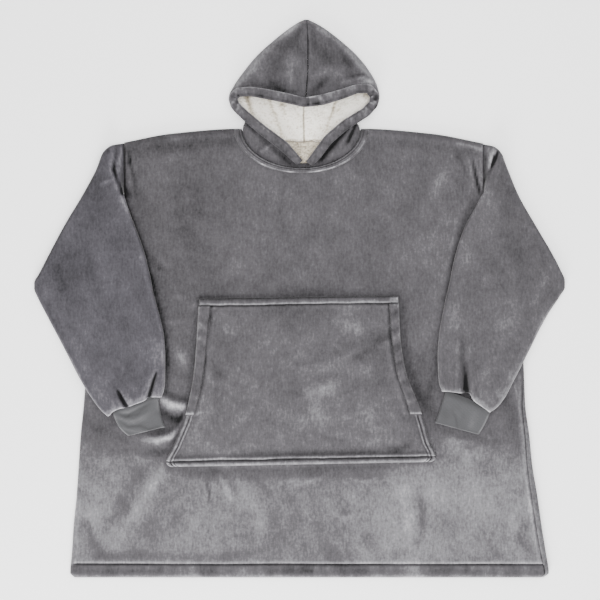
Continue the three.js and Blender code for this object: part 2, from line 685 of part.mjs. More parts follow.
// Both halves of the hood: a hollow shell, open at the face and at the neck, parted at the centre seam.
function hoodHalves() {
  const rows = [260, 267, 275, 287, 300, 313, 327, 341, 348, 355, 368, 385, 403, 422, 440, 462, 484, 506, 526, 541, 551, hoodPeak];
  const innerRows = rows.filter((y) => y < hoodPeak - wall);
  const columns = [0, 0.03, 0.1, 0.2, 0.34, 0.5, 0.66, 0.8, 0.9, 0.97, 1];
  const top = hoodGrid(rows, columns, 0, hoodHeight);
  const floor = hoodGrid(rows, columns, 0, () => 0);
  const cavityTop = hoodGrid(innerRows, columns, wall, (x, y) => Math.max(hoodHeight(x, y) - wall, wall + 0.5));
  const cavityFloor = hoodGrid(innerRows, columns, wall, () => wall);
  const mouth = block(hoodHemPath(64), wall + 0.1, 80);
  const neckSeam = neckOutline(neck.frontDepth, -seamGap).slice(0, -2);
  const inNeck = block(
    [
      ...neckSeam,
      new THREE.Vector2(300, neckPointY),
      new THREE.Vector2(300, 600),
      new THREE.Vector2(-300, 600),
      new THREE.Vector2(-300, neckPointY),
    ],
    -1,
    80,
  );
  const backSeam = neckOutline(neck.backDepth, -seamGap).slice(0, -2);
  const overBack = block(
    [
      ...backSeam,
      new THREE.Vector2(300, neckPointY + seamGap),
      new THREE.Vector2(300, 200),
      new THREE.Vector2(-300, 200),
      new THREE.Vector2(-300, neckPointY + seamGap),
    ],
    -1,
    wall + seamGap,
  );
  const seam = block(
    [
      new THREE.Vector2(7 - seamGap / 2, 200),
      new THREE.Vector2(7 + seamGap / 2, 200),
      new THREE.Vector2(13 + seamGap / 2, 600),
      new THREE.Vector2(13 - seamGap / 2, 600),
    ],
    -1,
    80,
  );
  const shell = solid(clothWall(top, floor))
    .intersect(inNeck)
    .subtract(solid(clothWall(cavityTop, cavityFloor)))
    .subtract(mouth)
    .subtract(overBack)
    .subtract(seam);
  return shell.decompose().sort((a, b) => a.boundingBox().min[0] - b.boundingBox().min[0]);
}

// Sherpa lining of the hood's back, where it shows through the face opening, in two halves.
const liningWall = 2.6;
function hoodLining(side) {
  const rows = [316, 330, 345, 357, 370, 388, 405, 422, 436];
  const columns = steps(8);
  const toMiddle = side === "left" ? 1 : 0;
  const grid = (rise) =>
    rows.map((y) => {
      const seamX = lerp(7, 13, (y - 200) / 400);
      const edge = along(hoodOutline, "y", toMiddle ? "right" : "left", y);
      const from = toMiddle ? seamX + seamGap : edge + 14;
      const to = toMiddle ? edge - 14 : seamX - seamGap;
      return columns.map((u) => new THREE.Vector3(lerp(from, to, u), y, wall + seamGap + rise));
    });
  return clothWall(grid(liningWall), grid(0));
}

// Sherpa side of the back panel, where it shows below the hood's back seam.
function neckLining() {
  const rows = [269, 276, 284, 292, 300, 308];
  const columns = steps(6);
  const grid = (rise) =>
    rows.map((y) => {
      const half = 24 + (y - 269) * 0.8;
      return columns.map((u) => new THREE.Vector3(lerp(neck.x - half, neck.x + half, u), y, wall + seamGap + rise));
    });
  return clothWall(grid(liningWall), grid(0));
}

const garment = new THREE.Group();
function sew(name, geometry, material) {
  const mesh = new THREE.Mesh(geometry, material);
  mesh.name = name;
  garment.add(mesh);
}

sew("back", backPanel(), flannel);
sew("front", frontPanel(), flannel);
sew("pocket", pocketPanel(), flannel);
sew("pocket_hem_right", pocketMouthHem("left"), flannel);
sew("pocket_hem_left", pocketMouthHem("right"), flannel);
sew("neck_binding", neckBinding(), flannel);
sew("sleeve_right", sleeve(rightSleeveSections), flannel);
sew("sleeve_left", sleeve(leftSleeveSections), flannel);
sew("cuff_right", cuff(rightCuffSections), ribKnit);
sew("cuff_left", cuff(leftCuffSections), ribKnit);
const [hoodRight, hoodLeft] = hoodHalves();
sew("hood_right", geometryOf(hoodRight), flannel);
sew("hood_left", geometryOf(hoodLeft), flannel);
sew("hood_hem", hoodHem(), flannel);
sew("hood_lining_right", hoodLining("right"), sherpa);
sew("hood_lining_left", hoodLining("left"), sherpa);
sew("neck_lining", neckLining(), sherpa);

export default garment;
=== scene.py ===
"""A wearable blanket hoodie: plush flannel fleece outside and sherpa inside, laid out flat on a table and
seen from straight above. Sizes are in millimetres and turned to metres as each mesh is made. +Y runs from
the hem to the hood, and +X to the wearer's left."""

import bpy
import numpy as np
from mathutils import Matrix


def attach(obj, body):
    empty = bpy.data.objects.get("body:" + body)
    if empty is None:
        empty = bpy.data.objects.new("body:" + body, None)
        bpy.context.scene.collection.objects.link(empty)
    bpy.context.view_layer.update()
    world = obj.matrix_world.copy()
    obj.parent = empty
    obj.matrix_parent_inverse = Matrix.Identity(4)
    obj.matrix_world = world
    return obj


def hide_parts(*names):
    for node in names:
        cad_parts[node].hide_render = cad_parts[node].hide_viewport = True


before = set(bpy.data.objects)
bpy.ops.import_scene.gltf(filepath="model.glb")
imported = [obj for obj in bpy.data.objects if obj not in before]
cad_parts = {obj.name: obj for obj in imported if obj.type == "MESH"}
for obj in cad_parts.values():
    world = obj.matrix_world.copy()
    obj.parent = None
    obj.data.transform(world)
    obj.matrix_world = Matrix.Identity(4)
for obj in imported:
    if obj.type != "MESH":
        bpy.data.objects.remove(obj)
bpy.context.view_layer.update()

# Back panel
# The lower layer of the body, flannel fleece with sherpa inside, 6 mm thick. It lies flat on the surface, and
# at the wearer's left side it comes round the edge, so the side seam shows on the front.
hem_y = -557
hem_depth = 27
# The height where back and front meet, and how far in from its folded sides the body is rounded.
mid_height = 7
side_reach = 13
# Left and right edges, the angles in degrees at which the side seams lie round them, and 1 where an armhole
# cuts the side off straight.
body_outline = {
    "y": [-557, -548, -513, -453, -393, -333, -273, -213, -123, 15, 130, 209, 339],
    "left": [-449, -458, -455, -451, -445, -441, -437, -431, -424, -408, -372, -350, -350],
    "right": [487, 498, 493, 483.5, 475, 465, 459, 451, 447, 424, 386, 367, 367],
    "left_seam": [178, 178, 176, 174, 170, 160, 150, 130, 90, 90, 90, 90, 90],
    "right_seam": [27, 22, 13, 8, 6, 13, 22, 34, 70, 90, 90, 90, 90],
    "cut": [0, 0, 0, 0, 0, 0, 0, 0, 0, 0, 0, 1, 1],
}
shoulder_line = {"x": [-352, -257, -119, 127, 263, 370], "y": [311, 329, 339, 339, 329, 309]}
armhole_left = -350
armhole_right = 367
# The middle and half width of the neck hole, and how deep it dips in the front and in the back.
neck_x = 4
neck_y = 339
neck_half = 119
front_neck = 79
back_neck = 26


def along(table, key, column, at):
    """A smooth curve through a table's columns that never swings past their values."""
    t, level = np.array(table[key], float), np.array(table[column], float)
    slope = np.diff(level) / np.diff(t)
    lean = np.concatenate([slope[:1], np.zeros(len(t) - 2), slope[-1:]])
    same = np.flatnonzero(slope[:-1] * slope[1:] > 0)
    lean[same + 1] = 2 * slope[same] * slope[same + 1] / (slope[same] + slope[same + 1])
    at = np.clip(at, t[0], t[-1])
    i = np.clip(np.searchsorted(t, at) - 1, 0, len(t) - 2)
    span = t[i + 1] - t[i]
    u = (at - t[i]) / span
    rise = level[i] + (level[i + 1] - level[i]) * u * u * (3 - 2 * u)
    return rise + span * u * (1 - u) * ((1 - u) * lean[i] - u * lean[i + 1])


def ease(value, start, end):
    """0 before start, 1 after end, and a soft step between."""
    t = np.clip((value - start) / (end - start), 0, 1)
    return t * t * (3 - 2 * t)


def rounded(distance, reach):
    """The height, from 0 to 1, of a quarter-round edge at this distance in from it."""
    return np.sqrt(1 - (1 - np.clip(distance / reach, 0, 1)) ** 2)


def cloudy(x, y, size, seed):
    """Soft random values from -1 to 1, in patches of this size."""
    values = np.random.default_rng(seed).uniform(-1, 1, (128, 128))
    u, v = np.asarray(x) / size + 900.3, np.asarray(y) / size + 900.7
    i, j = np.floor(u).astype(int), np.floor(v).astype(int)
    a, b = ease(u - i, 0, 1), ease(v - j, 0, 1)
    i, j, p, q = i % 128, j % 128, (i + 1) % 128, (j + 1) % 128
    low = values[i, j] * (1 - a) + values[p, j] * a
    high = values[i, q] * (1 - a) + values[p, q] * a
    return low * (1 - b) + high * b


def sew(name, outer, inner, tone, material, nodes, holes=None, capped=False, lean=0.34):
    """Makes a wall of cloth from two matching grids of points, closed round every edge, as one piece.
    Without inner, outer is a tube. holes marks the quads left out, and capped closes the hidden side with one
    flat face. lean paints light from the hem side into the tone: what faces the hem is painted lighter, what
    faces the hood darker."""
    rows, columns = outer.shape[:2]
    count = rows * columns
    index = np.arange(count).reshape(rows, columns)
    quads = np.stack([index[:-1, :-1], index[:-1, 1:], index[1:, 1:], index[1:, :-1]], -1)
    top = quads.reshape(-1, 4) if holes is None else quads[~holes]
    edges = np.concatenate([top[:, [0, 1]], top[:, [1, 2]], top[:, [2, 3]], top[:, [3, 0]]])
    keys = np.sort(edges, 1) @ np.array([count, 1])
    _, which, uses = np.unique(keys, return_inverse=True, return_counts=True)
    rim = edges[uses[which] == 1]
    faces = [top]
    loops = []
    if inner is not None:
        faces.append(np.stack([rim[:, 1], rim[:, 0], rim[:, 0] + count, rim[:, 1] + count], -1))
        if capped:
            around = [index[0, :], index[1:, -1], index[-1, -2::-1], index[-2:0:-1, 0]]
            loops = [np.concatenate(around)[::-1] + count]
        else:
            faces.append(top[:, ::-1] + count)
        points = np.concatenate([outer.reshape(-1, 3), inner.reshape(-1, 3)])
        tone = np.concatenate([tone.ravel(), tone.ravel()])
    else:
        points, tone = outer.reshape(-1, 3), tone.ravel()
    corners = np.concatenate([np.concatenate(faces).ravel(), *loops])
    used, corners = np.unique(corners, return_inverse=True)
    sizes = np.concatenate([np.full(sum(len(f) for f in faces), 4), [len(loop) for loop in loops]])
    mesh = bpy.data.meshes.new(name)
    mesh.vertices.add(len(used))
    mesh.vertices.foreach_set("co", (points[used] / 1000).ravel().astype(np.float32))
    mesh.loops.add(len(corners))
    mesh.loops.foreach_set("vertex_index", corners.ravel().astype(np.int32))
    mesh.polygons.add(len(sizes))
    mesh.polygons.foreach_set("loop_start", (np.cumsum(sizes) - sizes).astype(np.int32))
    mesh.update(calc_edges=True)
    mesh.validate()
    mesh.shade_smooth()
    facing = np.zeros(3 * len(used), np.float32)
    mesh.vertex_normals.foreach_get("vector", facing)
    # Painted light from the hem side: lighter where the cloth faces the hem, darker where it faces the hood.
    shade = tone[used] - lean * np.clip(facing[1::3], -0.8, 0.6)
    mesh.attributes.new("nap_tone_and_painted_light", "FLOAT", "POINT").data.foreach_set("value", shade.astype(np.float32))
    mesh.materials.append(material)
    piece = bpy.data.objects.new(name, mesh)
    bpy.context.scene.collection.objects.link(piece)
    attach(piece, "root")
    if nodes:
        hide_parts(*nodes)
    return piece


def linear(code):
    """An sRGB hex colour as the linear red, green, blue and alpha that shaders take."""
    parts = [int(code[i : i + 2], 16) / 255 for i in (1, 3, 5)]
    return [p / 12.92 if p <= 0.04045 else ((p + 0.055) / 1.055) ** 2.4 for p in parts] + [1.0]


def add_node(material, kind, output=None, settings=(), values=(), links=(), stops=()):
    """Adds a shader node with its settings, input values, links and, on a ramp, the colours of its stops.
    Gives back the output of that name."""
    node = material.node_tree.nodes.new(kind)
    for key, value in dict(settings).items():
        setattr(node, key, value)
    for key, value in dict(values).items():
        node.inputs[key].default_value = value
    for key, source in dict(links).items():
        material.node_tree.links.new(source, node.inputs[key])
    for _ in stops[2:]:
        node.color_ramp.elements.new(0.5)
    for number, (position, code) in enumerate(stops):
        node.color_ramp.elements[number].position = position
        node.color_ramp.elements[number].color = linear(code)
    return node.outputs[output] if output else None


def new_material(name):
    material = bpy.data.materials.new(name)
    material.use_nodes = True
    material.node_tree.nodes.clear()
    return material


def matt_cloth(material, colour, relief, strength, depth, finish):
    """Ends the material of a cloth: its colour, its relief as a bump this deep in metres, and its finish."""
    amount = {"Strength": strength, "Distance": depth}
    bump = add_node(material, "ShaderNodeBump", "Normal", (), amount, {"Height": relief})
    feeds = {"Base Color": colour, "Normal": bump}
    surface = add_node(material, "ShaderNodeBsdfPrincipled", "BSDF", (), finish, feeds)
    add_node(material, "ShaderNodeOutputMaterial", links={"Surface": surface})


# Flannel fleece, woven polyester brushed on its face to a dense pile about 3 mm deep. The pile lies over in
# patches that look lighter or darker, shows short brush streaks, and glows softly where the cloth turns away.
def flannel_fleece(name, dark, middle, lit, light):
    cloth = new_material(name)
    place = add_node(cloth, "ShaderNodeTexCoord", "Object")
    # Brush streaks 4 mm wide and 12 mm long, leaning the way the pile was brushed.
    slant = {"Rotation": (0, 0, 0.35), "Scale": (250, 80, 160)}
    leaning = add_node(cloth, "ShaderNodeMapping", "Vector", (), slant, {"Vector": place})
    short = {"Scale": 1, "Detail": 3, "Roughness": 0.6}
    streaks = add_node(cloth, "ShaderNodeTexNoise", "Fac", (), short, {"Vector": leaning})
    # Tufts of pile that part from each other, 5 mm apart.
    parted = {"Scale": 200, "Detail": 4, "Roughness": 0.65}
    tufts = add_node(cloth, "ShaderNodeTexNoise", "Fac", (), parted, {"Vector": place})
    # Patches about 30 mm across where hands have turned the pile.
    turned = {"Scale": 32, "Detail": 3, "Distortion": 0.6}
    patches = add_node(cloth, "ShaderNodeTexNoise", "Fac", (), turned, {"Vector": place})
    # All three are added to the tone. Their mean is a half, so half of the sum of their shares is taken off.
    # The tone from each piece, which carries its painted light and shade as well as the pile's patches.
    level = add_node(cloth, "ShaderNodeAttribute", "Fac", {"attribute_name": "nap_tone_and_painted_light"})
    sum_up = {"operation": "MULTIPLY_ADD"}
    for pattern, share in ((streaks, 0.38), (tufts, 0.38), (patches, 0.26)):
        level = add_node(cloth, "ShaderNodeMath", "Value", sum_up, {1: share}, {0: pattern, 2: level})
    level = add_node(cloth, "ShaderNodeMath", "Value", {"operation": "SUBTRACT"}, {1: 0.51}, {0: level})
    stops = [(0.0, dark), (0.5, middle), (0.74, lit), (1.0, light)]
    colour = add_node(cloth, "ShaderNodeValToRGB", "Color", links={"Fac": level}, stops=stops)
    pile = add_node(cloth, "ShaderNodeMath", "Value", sum_up, {1: 0.6}, {0: streaks, 2: tufts})
    finish = {
        "Roughness": 0.92,
        "Specular IOR Level": 0.2,
        "Sheen Weight": 0.3,
        "Sheen Roughness": 0.4,
        "Sheen Tint": linear("#e6e4e6"),
    }
    matt_cloth(cloth, colour, pile, 0.5, 0.0016, finish)
    return cloth


body_fleece = flannel_fleece("Flannel fleece, brushed plush", "#0c0c0d", "#4b494c", "#717073", "#a3a1a4")


def body_grid(facing, neck_depth, spacing, hem_rows):
    """Plan points of a body panel: rows from the hem up to the shoulder and neck, columns from side to side.
    Also says how far round the folded side each point is, 0 on the flat and pi/2 or more at the edge."""
    turn_in = lambda cut: side_reach * (1 - 0.9 * cut)
    neck_turn = np.linspace(np.pi, 2 * np.pi, 300)
    top_x = np.concatenate(
        [
            np.linspace(armhole_left + turn_in(1), neck_x - neck_half, 100)[:-1],
            neck_x + neck_half * np.cos(neck_turn),
            np.linspace(neck_x + neck_half, armhole_right - turn_in(1), 100)[1:],
        ]
    )
    dip = np.sqrt(np.clip(1 - ((top_x - neck_x) / neck_half) ** 2, 0, 1)) * neck_depth
    top_y = along(shoulder_line, "x", "y", top_x) - dip
    run = np.concatenate([[0], np.cumsum(np.hypot(np.diff(top_x), np.diff(top_y)))])
    columns = int(950 / spacing)
    u = np.linspace(0, 1, columns)
    top_x, top_y = np.interp(u * run[-1], run, top_x), np.interp(u * run[-1], run, top_y)
    middle = np.linspace(0, 1, int(800 / spacing))[1:-1]
    last = np.array([14, 11, 8, 6, 4, 2.5, 1.2, 0.4, 0])
    first = np.array(hem_rows, float)
    y = np.concatenate(
        [
            np.repeat(hem_y + first[:, None], columns, 1),
            hem_y + first[-1] + middle[:, None] * (top_y - 14 - hem_y - first[-1])[None, :],
            top_y[None, :] - last[:, None],
        ]
    )
    cut = np.clip(along(body_outline, "y", "cut", y), 0, 1)
    left = along(body_outline, "y", "left", y) + turn_in(cut)
    right = along(body_outline, "y", "right", y) - turn_in(cut)
    share = (y - hem_y) / (top_y - hem_y)[None, :]
    x = (left[:1] + (right[:1] - left[:1]) * u) * (1 - share) + top_x * share
    straight_left = left[0, 0] * (1 - share) + top_x[0] * share
    straight_right = right[0, -1] * (1 - share) + top_x[-1] * share
    x += (1 - u) * (left - straight_left) + u * (right - straight_right)
    arcs = np.linspace(0, 1, 15)[:-1]
    sides = {}
    for side, column, out in (("left", 0, -1), ("right", -1, 1)):
        seam = along(body_outline, "y", side + "_seam", y[:, column])
        sweep = np.radians(np.where(facing > 0, seam, 180 - seam) * (1 - cut[:, column]) + 5 * cut[:, column])
        angle = sweep[:, None] * (1 - arcs)
        centre = x[:, column][:, None]
        beside = np.repeat(y[:, [column]], len(arcs), 1)
        sides[side] = (centre + out * side_reach * np.sin(angle), beside, angle)
    lx, ly, la = sides["left"]
    rx, ry, ra = (part[:, ::-1] for part in sides["right"])
    flat = np.zeros(x.shape)
    return np.hstack([lx, x, rx]), np.hstack([ly, y, ry]), np.hstack([la, flat, ra]), top_y


gx, gy, turned, neck_line = body_grid(-1, back_neck, 14, [0, 1, 2.5, 5, 8, 14, 27, 50])
from_hem = gy - hem_y
top_of = np.pad(neck_line, 14, mode="edge")
roll = (0.2 + 0.8 * rounded(from_hem, 9)) * (0.08 + 0.92 * rounded(top_of - gy, 12))
outer = np.stack([gx, gy, mid_height - mid_height * np.cos(turned) * roll], -1)
inner = np.stack([gx - 0.35 * (gx - np.clip(gx, -400, 440)), gy, mid_height - np.cos(turned)], -1)
inner[..., 0] = np.where(turned > 0.3, gx - np.sign(gx) * 5, gx)
# Lighter where the cloth turns round the side, as a painted highlight, and lighter towards the hem, as
# painted sheen.
tone = 0.42 + 0.07 * cloudy(gx, gy, 60, 3) + 0.1 * ease(turned, 0.6, 1.6) + 0.12 * ease(-gy, 150, 350)
outer, inner, tone = outer[:, ::-1], inner[:, ::-1], tone[:, ::-1]
back = sew("back_panel", outer, inner, tone, body_fleece, ["back"], capped=True)

# Front panel
# The upper layer of the body, of the same cloth, with its lower edge turned up 27 mm and stitched. It lies on
# the back, goes round the edge at the wearer's right side, and keeps the creases of the sleeves and pocket.
front_height = 14
pocket_outline = {
    "y": [-332, -328, -322, -290, -228, -140, -70, 1],
    "left": [-256, -263, -266, -251, -226, -209, -204, -200],
    "right": [262, 269, 272, 260, 243, 210, 200, 197],
}
pocket_top = 1
pocket_foot = -332
# Creases, each a path of points (x, y, rise, half width).
front_folds = [
    [(-284, -194, 3, 10), (-258, -208, 7, 10.5), (-230, -214, 7, 9), (-212, -214, 3, 7)],
    [(-276, -224, -2, 8), (-256, -236, -4, 10), (-232, -238, -3, 9)],
    [(-306, -278, 2, 9), (-284, -281, 6, 9), (-256, -273, 7, 9), (-232, -257, 3, 8)],
    [(-350, -290, 0, 10), (-310, -304, -2, 11), (-270, -306, -2, 9)],
    [(-279, -344, 2.4, 20), (-310, -390, 3.2, 24), (-372, -500, 1, 26)],
    [(-320, -350, -1, 16), (-352, -410, -1.8, 16), (-400, -470, 0, 16)],
    [(-430, -330, 0, 20), (-390, -318, 3, 18), (-340, -322, 0, 16)],
    [(-278, -48, 0, 5), (-245, -46, 1.0, 5), (-212, -48, 0, 4)],
    [(-262, -70, 0, 14), (-238, -112, 3.5, 16), (-222, -150, 0, 14)],
    [(-258, 2, 0, 5), (-240, 6, 0.9, 5), (-226, 4, 0, 5)],
    [(-214, -4, 0, 4), (-208, -14, 2.5, 4), (-200, -24, 0, 4)],
    [(-344, 302, 0, 5), (-340, 270, -2.4, 4), (-330, 232, -1.2, 6), (-318, 196, 0, 8)],
    [(-339, 262, 2, 8), (-337, 238, 2.5, 9), (-328, 208, 0, 8)],
    [(-322, 140, 0, 7), (-308, 96, -1.5, 8), (-296, 60, 0, 8)],
    [(-302, 88, 0, 6), (-276, 62, -2, 7), (-256, 52, 0, 7)],
    [(344, 286, 0, 2.4), (348, 266, -3, 2.4), (353, 240, -4.5, 2.6), (361, 207, -3.6, 2.8)],
    [(336, 300, 0, 7), (338, 268, 1.6, 7), (341, 226, 1.2, 8), (334, 190, 0, 8)],
    [(310, 306, 0, 7), (318, 284, -2, 8), (330, 262, 0, 8)],
    [(330, 170, -2, 8), (304, 60, -2, 8), (290, 0, -1, 8)],
    [(300, 276, 0, 13), (282, 244, 2.2, 14), (256, 196, 1.6, 16), (240, 150, 0, 16)],
    [(290, 190, 0, 16), (270, 130, 1.6, 18), (262, 60, 0, 16)],
    [(-30, 238, 0, 10), (-38, 190, -1.5, 11), (-30, 130, 0, 12)],
    [(60, 200, 0, 18), (40, 100, 2, 22), (70, 40, 0, 18)],
    [(-160, 250, 0, 22), (-170, 150, 2.2, 26), (-150, 50, 0, 22)],
    [(250, -140, 0, 16), (256, -200, -1.6, 18), (262, -248, 0, 14)],
    [(262, -100, 0, 12), (252, -160, 2, 10), (246, -190, 0, 8)],
    [(276, -262, 0, 7), (300, -280, 1.6, 7), (345, -286, 1.2, 8), (390, -296, 0, 8)],
    [(364, -262, 0, 5), (378, -276, 1.2, 4), (396, -284, -1.2, 4), (416, -286, 0, 5)],
    [(284, -256, 0, 4), (306, -262, -1.2, 4), (318, -258, 0, 4)],
    [(240, -360, 0, 9), (246, -420, -2, 10), (252, -480, 0, 12)],
    [(-186, -356, 0, 3), (-180, -384, -1.6, 2.6), (-178, -412, 0, 3)],
    [(-150, -352, 0, 8), (-142, -380, 1.8, 8), (-138, -404, 0, 8)],
    [(-20, -372, 0, 4), (20, -364, 1.4, 3.5), (60, -352, 0, 4)],
    [(90, -356, 0, 4), (130, -364, 1.2, 3.5), (170, -360, 0, 4)],
    [(60, -424, 0, 8), (90, -436, 1.6, 7), (130, -428, 0, 8)],
    [(420, -400, 0, 12), (430, -450, 1.8, 12), (420, -500, 0, 12)],
]


def folds(x, y, rows, sharp=2.0):
    """The height that creases add at x, y. Each row is a path of points (x, y, rise, half width)."""
    total = np.zeros(np.broadcast(x, y).shape)
    for row in rows:
        nearest = np.full(total.shape, np.inf)
        height = np.zeros(total.shape)
        for (ax, ay, a_rise, a_wide), (bx, by, b_rise, b_wide) in zip(row, row[1:]):
            run_x, run_y = bx - ax, by - ay
            t = np.clip(((x - ax) * run_x + (y - ay) * run_y) / (run_x**2 + run_y**2), 0, 1)
            distance = np.hypot(x - ax - run_x * t, y - ay - run_y * t)
            shape = np.exp(-((distance / (a_wide + (b_wide - a_wide) * t)) ** sharp))
            closer = distance < nearest
            height = np.where(closer, (a_rise + (b_rise - a_rise) * t) * shape, height)
            nearest = np.where(closer, distance, nearest)
        total += height
    return total


def painted_relief_shading(height, reach, strength):
    """Painted highlight on ridges and painted shade in hollows: how far each point stands above its
    neighbours.
    """
    around = height.copy()
    for _ in range(reach):
        padded = np.pad(around, 1, mode="edge")
        around = (padded[:-2, 1:-1] + padded[2:, 1:-1] + padded[1:-1, :-2] + padded[1:-1, 2:]) / 4
    return np.clip((height - around) * strength, -0.34, 0.3)


def depth_inside(outline, x, y, foot, top):
    """How far a point is inside an outline, less than nothing outside it."""
    left, right = along(outline, "y", "left", y), along(outline, "y", "right", y)
    return np.minimum(np.minimum(x - left, right - x), np.minimum(y - foot, top - y))


def front_calm(x, y):
    """1 where the front can fold freely, 0 under the pocket."""
    return 1 - ease(depth_inside(pocket_outline, x, y, pocket_foot, pocket_top), -9, -1)


def front_top(x, y):
    """Height of the front's brushed face over the surface."""
    waves = 0.9 * cloudy(x, y, 95, 11) + 0.45 * cloudy(x, y, 42, 12)
    return front_height + (folds(x, y, front_folds) + waves) * front_calm(x, y)


def hump(value, middle, width):
    """1 at the middle value, and falling softly to nothing at about twice this width to either side."""
    return np.exp(-(((value - middle) / width) ** 2))


def hem_relief(from_hem, x):
    """The turned hem: a soft band, its stitch groove, and the cloth swelling up above it."""
    uneven = 1 + 0.3 * cloudy(x, x * 0, 46, 21)
    line = from_hem - hem_depth - 1.3 * cloudy(x, x * 0, 120, 22)
    band = 1.6 * (1 - ease(line, -2, 1)) * uneven
    drawn = 3.2 + 1.2 * cloudy(x, x * 0, 75, 23)
    swelling = 0.4 + 0.3 * cloudy(x, x * 0, 90, 24)
    return band + swelling * hump(line, 4.5, 4) - drawn * hump(line, 0, 1.7)
